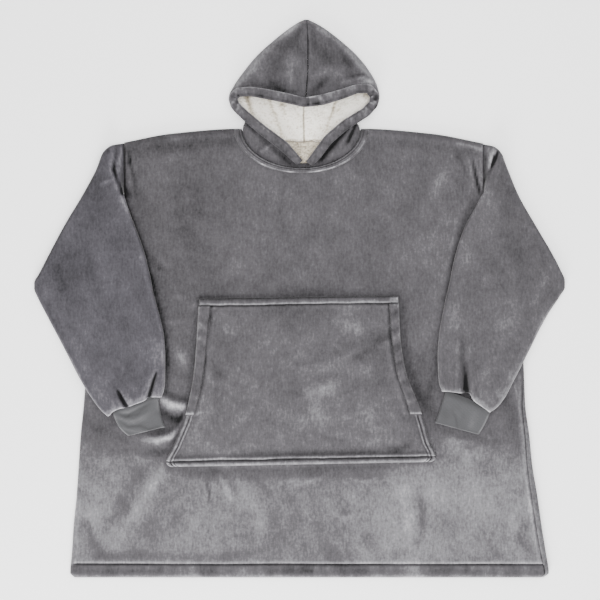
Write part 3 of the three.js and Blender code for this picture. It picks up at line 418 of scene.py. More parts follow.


# Marks left in the lying pile by hands and brushing, together with painted shadows beside the sleeves and
# round the pocket, painted shade in the creases and painted highlights on the ridges: paths of (x, y, tone,
# half width), light or dark.
front_marks_and_painted_light = [
    [(-345, 296, -0.1, 12), (-240, 306, -0.16, 12), (-130, 314, -0.1, 12)],
    [(131, 314, -0.12, 12), (240, 306, -0.1, 12), (340, 292, -0.1, 12)],
    [(-300, 272, 0, 12), (-240, 284, 0.07, 10), (-190, 290, 0, 10)],
    [(-252, 318, 0.16, 7), (-240, 314, 0.12, 7)],
    [(-29, 237, -0.05, 8), (-40, 180, -0.09, 9), (-36, 150, 0, 9)],
    [(300, 276, 0.03, 12), (284, 246, 0.07, 12), (266, 208, 0.07, 13), (246, 168, 0.02, 16)],
    [(248, 272, -0.02, 9), (238, 232, -0.06, 11), (222, 196, -0.02, 12)],
    [(320, 236, -0.04, 8), (316, 200, -0.06, 9)],
    [(314, 310, 0.14, 5), (338, 305, 0.26, 6), (362, 298, 0.22, 6)],
    [(330, 288, -0.06, 6), (346, 296, -0.1, 4)],
    [(345, 276, 0, 2), (348, 262, -0.12, 2), (352, 244, -0.16, 2.2), (357, 224, -0.26, 2.4),
     (361, 209, -0.34, 2.6)],
    [(-350, 306, 0.16, 5), (-336, 309, 0.1, 5)],
    [(398, -186, -0.1, 12), (424, -232, -0.13, 16), (434, -280, -0.08, 12)],
    [(318, 284, -0.1, 6), (330, 262, -0.12, 6), (338, 230, -0.06, 6)],
    # Painted shade in the folds at the right armhole, and a painted shadow along the inner edge of the right
    # arm's sleeve.
    [(-349, 300, -0.28, 2.2), (-348.5, 250, -0.4, 2.2), (-349, 206, -0.6, 3)],
    [(-342, 300, -0.1, 3), (-337, 270, -0.28, 2.8), (-330, 240, -0.1, 3.4), (-326, 200, -0.05, 6)],
    [(-347, 270, -0.16, 3), (-338, 274, -0.18, 3)],
    [(-347, 216, -0.28, 5), (-338, 206, -0.18, 6)],
    [(-350, 207, -0.3, 4), (-340, 171, -0.5, 4), (-312, 92, -0.5, 4.5), (-286, 5, -0.4, 4.5),
     (-272, -46, -0.35, 5), (-264, -105, -0.3, 5), (-264, -150, -0.3, 5), (-266, -188, -0.2, 5)],
    [(-330, 180, -0.08, 12), (-296, 80, -0.1, 12), (-262, -50, -0.08, 12), (-256, -160, -0.06, 12)],
    # A painted shadow along the inner edge of the left arm's sleeve, and between the pocket and that sleeve.
    [(345, 190, -0.14, 8), (310, 80, -0.16, 8), (280, -60, -0.12, 8), (270, -150, -0.16, 10)],
    [(246, -100, -0.05, 14), (256, -170, -0.15, 18), (264, -236, -0.15, 15)],
    [(-150, 24, -0.08, 10), (-110, 40, -0.08, 14), (-84, 16, -0.06, 10)],
    [(-40, 20, -0.04, 8), (80, 18, -0.04, 8)],
    # Painted shadows round the pocket: above its top, beside its sides and below its foot.
    [(-196, 4, -0.14, 3), (-120, 5, -0.16, 3), (40, 5, -0.16, 3), (196, 5, -0.18, 3)],
    [(206, -6, -0.16, 9), (208, -70, -0.16, 9), (217, -136, -0.2, 10), (234, -184, -0.22, 9),
     (250, -224, -0.1, 8)],
    [(-207, -10, -0.08, 6), (-212, -100, -0.12, 6), (-222, -180, -0.1, 6), (-232, -228, -0.14, 6),
     (-262, -300, -0.14, 6)],
    [(-262, -342, -0.1, 6), (-150, -344, -0.2, 7), (0, -341, -0.18, 8), (140, -337, -0.16, 7),
     (262, -327, -0.12, 6)],
    [(-60, 60, -0.05, 20), (-70, 20, -0.05, 14)],
    [(100, 60, -0.06, 22), (140, 30, -0.06, 18)],
    [(-120, 80, 0.05, 20), (-140, 40, 0.05, 16)],
    [(-278, -44, 0.03, 4), (-214, -46, 0.04, 4)],
    [(-244, -96, 0.1, 10), (-232, -124, 0.14, 9)],
    [(-272, -200, 0.14, 9), (-248, -211, 0.18, 9), (-224, -216, 0.18, 6)],
    [(-270, -232, -0.16, 8), (-246, -244, -0.16, 9), (-232, -236, -0.1, 7)],
    [(-300, -281, 0.06, 9), (-268, -281, 0.16, 9), (-240, -266, 0.18, 8)],
    [(-366, -276, -0.1, 10), (-320, -292, -0.12, 10), (-262, -308, -0.1, 9)],
    [(-430, -240, -0.08, 12), (-400, -262, -0.12, 14), (-372, -250, -0.1, 10)],
    [(-276, -350, 0.1, 14), (-298, -378, 0.12, 14), (-336, -440, 0.08, 16)],
    [(-330, -344, -0.05, 12), (-356, -400, -0.06, 10), (-390, -464, -0.08, 10)],
    [(-440, -380, -0.16, 10), (-424, -400, -0.14, 12)],
    [(-424, -450, -0.18, 8), (-412, -486, -0.2, 9), (-396, -506, -0.16, 10)],
    [(-400, -514, -0.16, 8), (-300, -512, -0.12, 8), (-180, -516, -0.06, 8), (-110, -510, -0.14, 10)],
    [(-186, -362, -0.14, 2.4), (-181, -388, -0.2, 2.2), (-178, -414, 0, 3)],
    [(-230, -352, -0.1, 8), (-120, -356, -0.12, 8), (20, -352, -0.12, 8), (160, -350, -0.08, 8)],
    [(-158, -356, 0.1, 7), (-140, -396, 0.08, 8)],
    [(-84, -362, -0.12, 10), (-62, -388, -0.1, 10)],
    [(-100, -400, 0.1, 18), (-72, -440, 0.14, 20), (-80, -480, 0.06, 18)],
    [(-200, -430, 0.06, 16), (-220, -480, 0.08, 18)],
    [(-60, -370, 0.02, 5), (0, -362, 0.1, 3), (60, -350, 0.04, 4)],
    [(236, -392, -0.08, 10), (246, -440, -0.14, 11), (240, -486, -0.08, 12)],
    [(206, -380, 0.04, 10), (214, -440, 0.08, 8), (222, -500, 0.06, 8)],
    [(330, -330, 0.1, 34), (356, -400, 0.12, 40), (340, -460, 0.06, 34)],
    [(290, -290, 0.12, 12), (340, -310, 0.14, 16), (400, -316, 0.08, 14)],
    [(440, -470, -0.1, 14), (456, -500, -0.14, 10)],
    [(190, -512, -0.16, 9), (214, -506, -0.14, 10)],
    [(60, -506, -0.1, 9), (100, -512, -0.08, 8)],
    [(-54, -543, -0.16, 8), (20, -543, -0.16, 8)],
    [(-400, -546, -0.08, 7), (-280, -543, -0.1, 7)],
    [(-130, -546, 0.12, 6), (-70, -546, 0.1, 6)],
    [(100, -541, -0.1, 6), (130, -541, -0.12, 6)],
    [(270, -541, -0.16, 6), (330, -541, -0.14, 6)],
    [(400, -545, 0.08, 6), (470, -543, 0.06, 6)],
    [(425, -140, 0.06, 8), (444, -250, 0.14, 5), (460, -420, 0.1, 5), (470, -500, 0.06, 5)],
]


def body_tone(x, y):
    """The tone over the body: mid grey with random patches, darker over the upper part of the wearer's right
    side, and lighter over the lower third as painted sheen.
    """
    lower = ease(-y, 245, 390) * (0.17 + 0.06 * cloudy(x, y, 130, 31))
    broken = 0.045 * cloudy(x, y, 78, 32) + 0.03 * cloudy(x + 0.5 * y, y * 0.5, 30, 33)
    broken += 0.025 * cloudy(x + 0.4 * y, y * 0.4, 14, 34)
    left_side = 0.07 * ease(-x, 90, 240) * ease(y, -100, 20)
    return 0.42 + lower - left_side + broken * (0.8 + 0.4 * ease(-y, 200, 360))


hem_rows = [0, 0.8, 1.8, 3.2, 5, 8, 12, 16, 20, 23, 25, 26.2, 27, 27.8, 29, 31, 34, 38, 42, 46]
gx, gy, turned, neck_line = body_grid(1, front_neck, 4.6, hem_rows)
from_hem = gy - hem_y
from_top = np.pad(neck_line, 14, mode="edge") - gy
at_neck = np.abs(gx - neck_x) < neck_half
cut = np.clip(along(body_outline, "y", "cut", gy), 0, 1)
from_side = depth_inside(body_outline, gx, gy, -np.inf, np.inf)
flat_top = front_top(gx, gy) + hem_relief(from_hem, gx)
flat_top = front_height + (flat_top - front_height) * ease(from_side, 2, 14)
shoulder_roll = 0.05 + 0.95 * rounded(from_top, 13)
neck_roll = 0.68 + 0.32 * rounded(from_top, 5)
roll = np.where(at_neck, neck_roll, shoulder_roll) * (0.2 + 0.8 * rounded(from_hem, 7))
at_seam = 1 - rounded(np.clip(from_side, 0, 9), 6)
roll *= 1 - np.where(gx > 0, 0.07, 0.35) * ease(gy, 208, 226) * cut * at_seam
side_dip = 1.6 * np.exp(-((turned - turned.max(1, keepdims=True)) ** 2) / 0.02) * (turned > 0)
outer = np.stack([gx, gy, mid_height + (flat_top - mid_height) * np.cos(turned) * roll], -1)
outer[..., 2] -= side_dip * np.cos(turned)
outer[..., 2] = np.where(turned == 0, np.maximum(outer[..., 2], 8.3), outer[..., 2])
inner = np.stack([np.where(turned > 0.3, gx - np.sign(gx) * 5, gx), gy, mid_height + np.cos(turned)], -1)
tone = body_tone(gx, gy) + folds(gx, gy, front_marks_and_painted_light, sharp=1.6)
# Painted highlights and shade from the relief, and a painted highlight where the cloth turns round the sides.
tone += painted_relief_shading(outer[..., 2], 5, 0.14) + 0.16 * ease(turned, 0.5, 1.5)
# The side seam at the wearer's left: a dark line, with a painted highlight on the ridge beside it.
from_seam = gx - gx.max(1, keepdims=True)
tone -= 0.4 * hump(from_seam, 0, 2.2) * (gx > 0) * ease(-gy, 120, 200)
tone += 0.1 * hump(from_seam, -6, 3) * (gx > 0) * ease(-gy, 120, 200)
# A painted highlight along the shoulder edges, and painted shade in the hem's stitch line.
tone += 0.1 * (1 - ease(from_top, 1, 9)) * ~at_neck - 0.06 * hump(from_hem, hem_depth, 2)
in_hem = 1 - ease(from_hem, hem_depth - 4, hem_depth)
tone -= (0.2 + 0.1 * cloudy(gx, gx * 0, 34, 35) + 0.1 * cloudy(gx, gy * 0.5, 13, 36)) * in_hem
front = sew("front_panel", outer, inner, tone, body_fleece, ["front"], capped=True)

# Pouch pocket
# One layer of the same cloth laid on the front. Its top, foot and the lower part of both sides are turned in
# and stitched down 9 to 14 mm from the edge, and the slanting sides above are left open for the hands.
mouth_foot = -230
pocket_lift = 3.2
pocket_wall = 5.2
top_stitch = 14
foot_stitch = 11
side_stitch = 8.6
pocket_folds = [
    [(-178, -40, 0, 4), (-168, -24, -0.8, 4), (-152, -15, 0, 4)],
    [(-10, -150, 0, 16), (70, -128, 2.6, 15), (170, -84, 2.2, 11), (186, -70, 0, 8)],
    [(60, -140, 0, 11), (120, -112, -2.2, 11), (180, -78, 0, 9)],
    [(10, -196, 0, 16), (44, -180, 2.6, 16), (90, -166, 0, 14)],
    [(-176, -130, 0, 14), (-160, -146, -1.8, 15), (-140, -180, 0, 14)],
    [(-120, -250, 0, 26), (-40, -270, 2.2, 26), (60, -262, 0, 24)],
    [(-184, -90, 0, 9), (-176, -190, 1.6, 9), (-190, -260, 0, 10)],
    [(150, -290, 0, 10), (196, -302, -2.4, 10), (226, -290, 0, 8)],
    [(156, -200, 0, 14), (190, -230, 1.8, 14), (214, -270, 0, 10)],
    [(-60, -60, 0, 20), (-40, -110, -1.5, 22), (-60, -160, 0, 20)],
    [(100, -30, 0, 14), (120, -60, 1.5, 14), (110, -90, 0, 12)],
]
# Tones on the pocket, paths of (x, y, tone, half width): painted shade in its creases and painted highlights
# on its ridges and top corner, with some patches of the pile.
pocket_marks_and_painted_light = [
    [(10, -140, 0.02, 14), (80, -126, 0.07, 12), (168, -88, 0.06, 8)],
    [(70, -130, -0.04, 8), (120, -110, -0.16, 9), (150, -94, -0.18, 9), (180, -76, -0.14, 7)],
    [(100, -70, 0.05, 14), (160, -50, 0.05, 12)],
    [(16, -190, 0.05, 16), (58, -176, 0.09, 16), (90, -170, 0.04, 14)],
    [(100, -150, 0.05, 12), (140, -140, 0.07, 12)],
    [(184, -4, 0.2, 5), (195, -4, 0.24, 5)],
    [(-172, -132, -0.08, 12), (-156, -150, -0.12, 12)],
    [(-178, -40, -0.1, 3), (-170, -24, -0.12, 3), (-154, -16, -0.06, 3)],
    [(186, -314, -0.06, 9), (214, -296, -0.08, 9)],
    [(-180, -290, 0.06, 10), (-160, -310, 0.06, 8), (-100, -296, 0.05, 10)],
    [(-90, -306, -0.08, 6), (20, -308, -0.1, 6), (150, -308, -0.06, 6)],
    [(60, -40, 0.04, 16), (110, -60, 0.08, 14)],
    [(-120, -60, 0.04, 22), (-60, -80, 0.05, 22)],
    [(-60, -30, -0.05, 16), (60, -26, -0.05, 12)],
    [(-100, -220, 0.05, 26), (0, -240, 0.08, 26), (120, -230, 0.05, 26)],
]


def turned_edge(distance, along_edge, depth, seed, swell):
    """A stitched-down edge of the pocket: its rounded ridge and the groove of the stitching at this depth."""
    line = distance - depth - 0.8 * cloudy(along_edge, along_edge * 0, 70, seed)
    line = line - 0.5 * cloudy(along_edge, along_edge * 0, 17, seed + 20)
    uneven = 1 + 0.3 * cloudy(along_edge, along_edge * 0, 22, seed + 1)
    uneven = uneven + 0.2 * cloudy(along_edge, along_edge * 0, 8, seed + 21)
    ridge = 3.4 * uneven * np.sqrt(np.clip(1 - ((line + depth / 2) / (depth / 2 + 0.6)) ** 2, 0, 1))
    return ridge + swell * hump(line, 4.5, 3.6) - 3.0 * hump(line, 0, 1.5)


def pocket_heights(x, y, inside_left, inside_right):
    """Heights of the pocket's underside and of its face."""
    inside = np.minimum(inside_left, inside_right)
    opened = ease(y, mouth_foot - 8, mouth_foot + 4)
    lift = pocket_lift * ease(pocket_top - y, 2, 24) * ease(y - pocket_foot, 10, 110)
    lift *= np.maximum(opened, ease(inside, 10, 40))
    second_row = 2.4 * hump(inside, 15.4, 1.4)
    edges = [
        turned_edge(pocket_top - y, x, top_stitch, 41, 0.4),
        turned_edge(y - pocket_foot, x, foot_stitch, 43, 2.2),
        np.where(opened < 0.5, turned_edge(inside, y, side_stitch, 45, 2.2) - second_row, 0),
    ]
    relief = np.where(np.min(edges, 0) < -0.6, np.min(edges, 0), np.max(edges, 0))
    calm = ease(np.minimum(inside, np.minimum(pocket_top - y, y - pocket_foot)), 12, 30)
    swell = 0.8 * ease(inside, 12, 70) * ease(pocket_top - y, 12, 60) * ease(y - pocket_foot, 14, 60)
    waves = folds(x, y, pocket_folds) + 0.8 * cloudy(x, y, 60, 47) + 0.4 * cloudy(x, y, 26, 48)
    waves = (waves + swell) * calm
    roll = np.min([rounded(inside, 5), rounded(pocket_top - y, 5), rounded(y - pocket_foot, 5)], 0)
    under = front_top(x, y) + 0.4 + lift
    return under, under + (pocket_wall + waves + relief) * (0.3 + 0.7 * roll)


def pocket_tilt(x, y):
    """The pocket is sewn on slightly askew: how far its top and foot are moved towards the hood."""
    return (1.6 + 2.6 * x / 198) * ease(y, -120, 0) + (1 + 5 * x / 262) * ease(-y, 200, 332)


band_width = {
    "y": [-231, -190, -120, -60, -12],
    "left": [17, 18, 20, 22, 24],
    "right": [25, 21, 17.5, 18, 20],
}


# Distances in from the top, the foot and the sides, close together at the stitching.
top_steps = np.array([0, 0.5, 1.3, 2.5, 4, 6, 8, 10, 11.6, 12.8, 13.6, 14.4, 15.4, 17, 19.5, 23, 27, 31])
foot_steps = np.array([0, 0.5, 1.3, 2.5, 4, 6, 8, 9.4, 10.3, 11, 11.7, 12.8, 14.5, 16.5, 19, 22, 26, 31])
side_steps = np.array(
    [0, 0.5, 1.3, 2.5, 4, 5.8, 7.2, 8, 8.8, 9.8, 11.4, 13, 14.2, 15, 15.8, 17.2, 20, 25, 31]
)
middle_y = np.linspace(pocket_foot + 35, pocket_top - 35, 76)
rows_y = np.concatenate([pocket_foot + foot_steps, middle_y, (pocket_top - top_steps)[::-1]])
left = along(pocket_outline, "y", "left", rows_y)
right = along(pocket_outline, "y", "right", rows_y)
u = np.linspace(0, 1, 118)[1:-1]
gx = np.hstack(
    [
        left[:, None] + side_steps,
        (left + side_steps[-1])[:, None] + (right - left - 2 * side_steps[-1])[:, None] * u,
        (right[:, None] - side_steps)[:, ::-1],
    ]
)
gy = np.repeat(rows_y[:, None], gx.shape[1], 1)
under, face = pocket_heights(gx, gy, gx - left[:, None], right[:, None] - gx)
tone = 0.43 + 0.05 * cloudy(gx, gy, 60, 51) + 0.035 * cloudy(gx + 0.4 * gy, gy * 0.6, 26, 52)
tone += 0.03 * cloudy(gx, gy, 12, 53) + 1.4 * folds(gx, gy, pocket_marks_and_painted_light, sharp=1.6)
# Painted highlights and shade from the relief, and a painted shadow along the top edge.
tone += 0.02 * ease(-gy, 180, 300) + painted_relief_shading(face, 5, 0.16)
tone -= 0.7 * hump(gy, pocket_top, 1.1)
# Beside each mouth band: painted shade in the groove along it, and a painted highlight on the swell next to
# it.
for side, inside in (("left", gx - left[:, None]), ("right", right[:, None] - gx)):
    beside = inside - along(band_width, "y", side, gy)
    here = ease(gy, mouth_foot - 4, mouth_foot + 2) * ease(pocket_top - gy, 13, 18)
    tone -= 0.34 * hump(beside, 0.8, 2.4) * here * (0.8 + 0.3 * cloudy(gx, gy, 22, 55))
    face += 1.6 * hump(beside, 7, 4.5) * here
    tone += 0.07 * hump(beside, 7, 4) * here
pocket = sew(
    "pouch_pocket",
    np.stack([gx, gy + pocket_tilt(gx, gy), face], -1),
    np.stack([gx, gy + pocket_tilt(gx, gy), under], -1),
    tone,
    body_fleece,
    ["pocket"],
)

# Pocket mouth hems
# The open sides of the pocket are turned back over 20 mm and stitched, so each mouth has a padded band along
# it. The stitching draws it up a little, in slanting puckers, each given by its y and its rise.
puckers = {
    "left": [
        (-34, -0.4), (-46, 0.5), (-60, -0.5), (-74, 0.6), (-90, -0.5), (-112, 0.4), (-150, -0.4), (-190, 0.4),
    ],
    "right": [
        (-26, -0.9), (-42, 0.8), (-58, -0.9), (-72, 0.9), (-88, -1.2), (-104, 0.8), (-122, -1.3), (-140, 0.8),
        (-160, -1.2), (-178, 0.7), (-204, -0.6),
    ],
}
for side, out, nodes in (("left", -1, ["pocket_hem_right"]), ("right", 1, ["pocket_hem_left"])):
    ys = np.linspace(mouth_foot - 1, pocket_top - 14, 110)
    width = along(band_width, "y", side, ys)
    across = np.linspace(0, 1, 26)
    edge = along(pocket_outline, "y", side, ys)
    inside = width[:, None] * across - 0.6
    gx = edge[:, None] - out * inside
    gy = ys[:, None] + 0 * gx
    far = np.full(gx.shape, 400.0)
    sides = (np.clip(inside, 0, None), far) if side == "left" else (far, np.clip(inside, 0, None))
    under, face = pocket_heights(gx, gy, *sides)
    bed = np.minimum(face, under + pocket_wall) + 0.35
    slant = gy + 0.5 * inside
    wrinkle = sum(rise * hump(slant, at, 5.5) for at, rise in puckers[side])
    ends = rounded(np.minimum(ys - ys[0], ys[-1] - ys), 3)[:, None]
    from_stitch = (1 - across) * width[:, None]
    profile = rounded(across * width[:, None], 5) * (0.25 + 0.75 * rounded(from_stitch, 4.5))
    swell = (3.6 + 1.0 * wrinkle + 0.5 * cloudy(gx, gy, 16, 61)) * profile * (0.5 + 0.5 * ends)
    shown_y = gy + pocket_tilt(gx, gy)
    top = np.stack([gx, shown_y, bed + 0.6 + swell], -1)
    tone = 0.41 + 0.06 * cloudy(gx, gy, 24, 62) + 0.05 * cloudy(gx, gy, 9, 63)
    # Painted highlights and shade from the relief and on the puckers' crests, a painted highlight along the
    # outer edge and at the foot, and painted shade in the stitch line.
    tone += painted_relief_shading(top[..., 2], 4, 0.24)
    tone += (0.03 if side == "left" else 0.045) * wrinkle * profile
    tone += 0.16 * (1 - ease(inside, 0.5, 3.5)) - 0.22 * (1 - ease(from_stitch, 0, 3))
    tone += 0.14 * (1 - ease(gy - ys[0], 1, 5))
    foot = np.stack([gx, shown_y, bed + 0 * gx], -1)
    if side == "right":
        top, foot, tone = top[:, ::-1], foot[:, ::-1], tone[:, ::-1]
    band = sew(f"pocket_mouth_{side}", top, foot, tone, body_fleece, nodes)

# Sleeves
# Each sleeve is one piece of the same cloth sewn into a wide tube. It comes off the armhole seam, turns down
# at the elbow and lies across the front, and its end is pleated into the narrow cuff.
# The outer and inner fold of each sleeve, row by row from the armhole to the cuff.
sleeves = {
    "right": {
        "out_x": [
            -350.5, -373, -391, -406, -433, -469, -501, -520, -530, -530, -521, -505, -473, -441, -416,
            -397, -386,
        ],
        "out_y": [310, 306, 293, 257, 207, 147, 87, 50, 32, 20, -2, -33, -93, -153, -194, -219, -229],
        "in_x": [
            -350.4, -350, -346, -337, -322, -308, -299, -294, -292, -289, -284, -277, -269, -267, -267,
            -269, -273,
        ],
        "in_y": [212, 209, 195, 169, 130, 90, 54, 30, 15, 5, -14, -40, -80, -120, -155, -180, -193],
    },
    "left": {
        "out_x": [367.5, 386, 402, 414, 437, 471, 505, 520, 530, 530, 521, 495, 460, 427, 407, 391, 381],
        "out_y": [308, 304, 291, 262, 207, 147, 89, 60, 36, 22, 6, -33, -98, -162, -199, -218, -225],
        "in_x": [
            367.5, 367.5, 362, 350, 328, 313, 304, 300, 296, 293, 290, 284, 277, 275, 275.5, 277, 280.5,
        ],
        "in_y": [215, 211, 203, 181, 140, 97, 60, 38, 20, 8, -5, -36, -78, -120, -155, -176, -186],
    },
}
# How high the top layer stands over the lower one, row by row.
sleeve_loft = [13.5, 14.5, 15, 15, 15, 15, 15, 15, 15, 15, 15, 15, 16, 18, 20, 21, 20]
# How far the pleated end reaches past its last row, by the share of the way across it.
end_shape = {
    "right": {
        "share": [0, 0.024, 0.117, 0.247, 0.371, 0.546, 0.69, 0.751, 0.773, 0.862, 1],
        "out": [3, 4, -0.8, -3.2, -1.5, -2.5, -3.3, -6.2, -7.7, -4.7, 0],
    },
    "left": {
        "share": [0, 0.19, 0.38, 0.45, 0.5, 0.56, 0.62, 0.7, 0.8, 1],
        "out": [0, -5, -10.5, -17, -21, -20, -16, -13.5, -11, -5],
    },
}
sleeve_folds = {
    "right": [
        [(-364, 304, -2, 4), (-366, 284, -5, 3.5), (-370, 258, -9, 4), (-364, 236, -6, 4),
         (-357, 214, -3, 4)],
        [(-356, 300, 2, 3.5), (-357, 270, 2.5, 3.5), (-356, 240, 1, 4)],
        [(-384, 296, 0, 7), (-378, 276, 2.5, 7), (-382, 256, 2, 8), (-378, 230, 0, 9)],
        [(-372, 244, 0, 7), (-366, 228, 2.5, 6), (-352, 196, 2, 7), (-330, 140, 1, 9)],
        [(-400, 226, 0, 4), (-384, 234, 1.6, 4), (-370, 238, 0, 4)],
        [(-283, -142, 0, 3), (-290.5, -166, -12, 3), (-299, -196, -18, 3.2), (-301, -204, -18, 3.2)],
        [(-278, -130, 0, 8), (-282, -170, 2.5, 7), (-286, -196, 2, 6)],
        [(-302, -140, 0, 9), (-309, -176, 3, 9), (-316, -202, 3, 9)],
        [(-362, -180, 0, 3), (-354, -196, -12, 3.2), (-343, -217, -18, 4)],
        [(-376, -170, 0, 9), (-368, -200, 3, 8), (-366, -222, 2, 8)],
        [(-346, -180, 0, 5), (-336, -198, 3, 5), (-332, -214, 3, 6)],
        [(-420, 60, 0, 26), (-412, -20, 2.5, 30), (-390, -110, 0, 26)],
        [(-470, 60, 0, 20), (-484, 20, 2, 22), (-460, -40, 0, 20)],
        [(-300, -20, 0, 14), (-292, -80, 2, 12), (-286, -130, 0, 10)],
        [(-400, 180, 0, 20), (-380, 110, 2, 22), (-360, 40, 0, 22)],
    ],
    "left": [
        [(395, 294, -2, 2.6), (390, 283, -8, 3), (384, 267, -8, 3), (377, 250, -3, 3.4), (366, 226, -2, 4)],
        [(374, 302, 2, 5), (376, 276, 2.5, 5), (372, 252, 1, 5)],
        [(406, 290, 0, 5), (400, 268, 3, 6), (392, 244, 2, 7), (378, 214, 1, 8)],
        [(386, 206, 0, 8), (398, 170, 2, 10), (384, 120, 0, 12)],
        [(326, 2, 0, 9), (325, -70, -2, 8), (327, -118, -5, 7), (329.5, -146, -12, 6.6),
         (330.5, -172, -18, 6), (331, -204, -20, 5.6)],
        [(316, -20, 0, 7), (314, -90, 2.5, 6), (313, -150, 3, 6), (311, -190, 3, 6)],
        [(346, -130, 0, 10), (343, -166, 3.5, 8), (342, -200, 4, 8)],
        [(360, -60, 0, 20), (372, -120, 2.5, 18), (372, -190, 2, 14)],
        [(440, 120, 0, 24), (452, 70, -2, 26), (430, 20, 0, 24)],
        [(490, 80, 0, 18), (484, 40, 2.5, 20), (450, -20, 0, 20)],
        [(380, 60, 0, 18), (400, 0, 2, 20), (390, -60, 0, 18)],
    ],
}
# Tones along each sleeve, paths of (x, y, tone, half width): painted shade in its creases, pleats and armhole
# folds, painted highlights on its ridges and edges, and some patches of the pile.
sleeve_marks_and_painted_light = {
    "right": [
        [(-356.5, 306, 0.22, 3.5), (-357, 282, 0.3, 3.4), (-357.5, 256, 0.2, 3.2), (-356, 244, 0.04, 3)],
        [(-368, 286, -0.08, 3), (-369, 270, -0.2, 3), (-368, 257, -0.6, 3.2), (-363, 244, -0.4, 3)],
        [(-360, 238, -0.28, 4), (-355, 222, -0.42, 3.5), (-351, 210, -1.0, 4.5)],
        [(-296, 20, 0.08, 4), (-284, -20, 0.12, 4), (-272, -80, 0.14, 4), (-270, -180, 0.14, 4)],
        [(-376, 256, 0.16, 3), (-366, 232, 0.2, 3), (-352, 200, 0.18, 3), (-340, 170, 0.14, 3)],
        [(-412, 200, 0, 12), (-404, 214, -0.08, 10), (-396, 240, -0.1, 10)],
        [(-386, 282, -0.06, 5), (-378, 296, -0.14, 4)],
        [(-376, 250, 0.1, 6), (-350, 190, 0.12, 6), (-318, 100, 0.08, 6), (-290, -20, 0.1, 6)],
        [(-398, 226, 0.14, 4), (-380, 234, 0.12, 4)],
        [(-480, 60, -0.12, 12), (-472, 20, -0.1, 14)],
        [(-410, 70, -0.06, 12), (-406, 30, -0.06, 14)],
        [(-456, 130, 0.06, 16), (-430, 90, 0.05, 16)],
        [(-500, 10, 0.06, 10), (-460, -70, 0.08, 12), (-410, -160, 0.06, 10)],
        [(-350, 130, -0.05, 16), (-380, 60, -0.04, 18)],
        [(-300, -60, 0.03, 10), (-284, -140, 0.05, 7)],
        [(-284, -146, -0.3, 1.8), (-291, -168, -0.9, 2.2), (-299, -194, -1.0, 2.6),
         (-301, -204, -1.0, 2.6)],
        [(-366, -172, -0.1, 5), (-362, -182, -0.4, 3.4), (-354, -197, -0.9, 3), (-343, -216, -1.0, 3)],
        [(-339, -206, 0.12, 4), (-306, -196, 0.14, 4)],
        [(-380, -226, 0.12, 4), (-350, -214, 0.1, 4)],
        [(-330, -120, -0.06, 12), (-350, -160, -0.08, 10)],
    ],
    "left": [
        [(374, 301, 0.24, 6), (380, 282, 0.24, 6), (374, 260, 0.1, 4)],
        [(394, 291, -0.4, 1.6), (389, 280, -1.0, 2.2), (384, 268, -0.8, 1.8), (381, 259, -0.1, 1.6)],
        [(377, 256, -0.12, 4), (370, 238, -0.24, 4), (364, 220, -0.3, 3.5), (360, 208, -0.2, 3)],
        [(386, 262, 0.08, 6), (366, 214, 0.08, 6)],
        [(470, 70, 0.08, 16), (490, 40, 0.12, 16), (470, 10, 0.06, 16)],
        [(420, 120, -0.1, 18), (440, 80, -0.08, 20)],
        [(340, 100, 0.05, 12), (320, 20, 0.06, 10), (300, -60, 0.06, 9)],
        [(300, -100, 0.06, 8), (300, -170, 0.08, 8)],
        [(326, -80, -0.05, 7), (329, -124, -0.12, 8), (331, -156, -0.3, 7), (331.5, -182, -0.8, 5),
         (331.5, -204, -1.0, 4.6)],
        [(289, -184, 0.12, 4), (318, -188, 0.14, 4)],
        [(340, -196, 0.12, 4), (376, -220, 0.14, 4)],
        [(400, -60, 0.04, 16), (370, -150, 0.06, 14)],
        [(420, 200, -0.05, 14), (400, 240, -0.06, 12)],
        [(500, -10, 0.08, 8), (450, -100, 0.1, 8), (400, -196, 0.12, 7)],
    ],
}
over_front = 15.6
# A ring round a flattened sleeve: the radius of its folds, and its points on top, below and on each fold.
sleeve_ring = (6, 62, 26, 12)
sleeve_rings = 138
# How far each further ring at the end is inset and moved on.
sleeve_end = ((0.6, 1.6), (1.6, 2.6), (3.2, 2.6), (4.8, 0.6), (5.6, -3), (6.2, -8))


def over_body(x, y, start, end):
    """1 where the front lies below, 0 out on the bare surface, and a slope between."""
    return ease(depth_inside(body_outline, x, y, -np.inf, np.inf), start, end)


def ring(from_x, from_y, to_x, to_y, reach, top_count, low_count, turn_count):
    """Plan points round a flattened tube, from one fold over the top to the other and back below. lid is 1 on
    top, 0 below and between them on the two turns, and share is how far across each point is."""
    length = np.hypot(to_x - from_x, to_y - from_y)
    turn = np.linspace(0, np.pi, turn_count + 2)[1:-1]
    over = reach + (length - 2 * reach) * np.linspace(0, 1, top_count)
    below = (length - reach) - (length - 2 * reach) * np.linspace(0, 1, low_count)
    fold = reach * np.sin(turn)
    place = np.concatenate([over, length - reach + fold, below, reach - fold, over[:1]])
    going, coming = (1 + np.cos(turn)) / 2, (1 - np.cos(turn)) / 2
    lid = np.concatenate([np.ones(top_count), going, np.zeros(low_count), coming, [1]])
    x = from_x + (to_x - from_x) * place / length
    y = from_y + (to_y - from_y) * place / length
    return x, y, lid, np.clip(place / length, 0, 1)


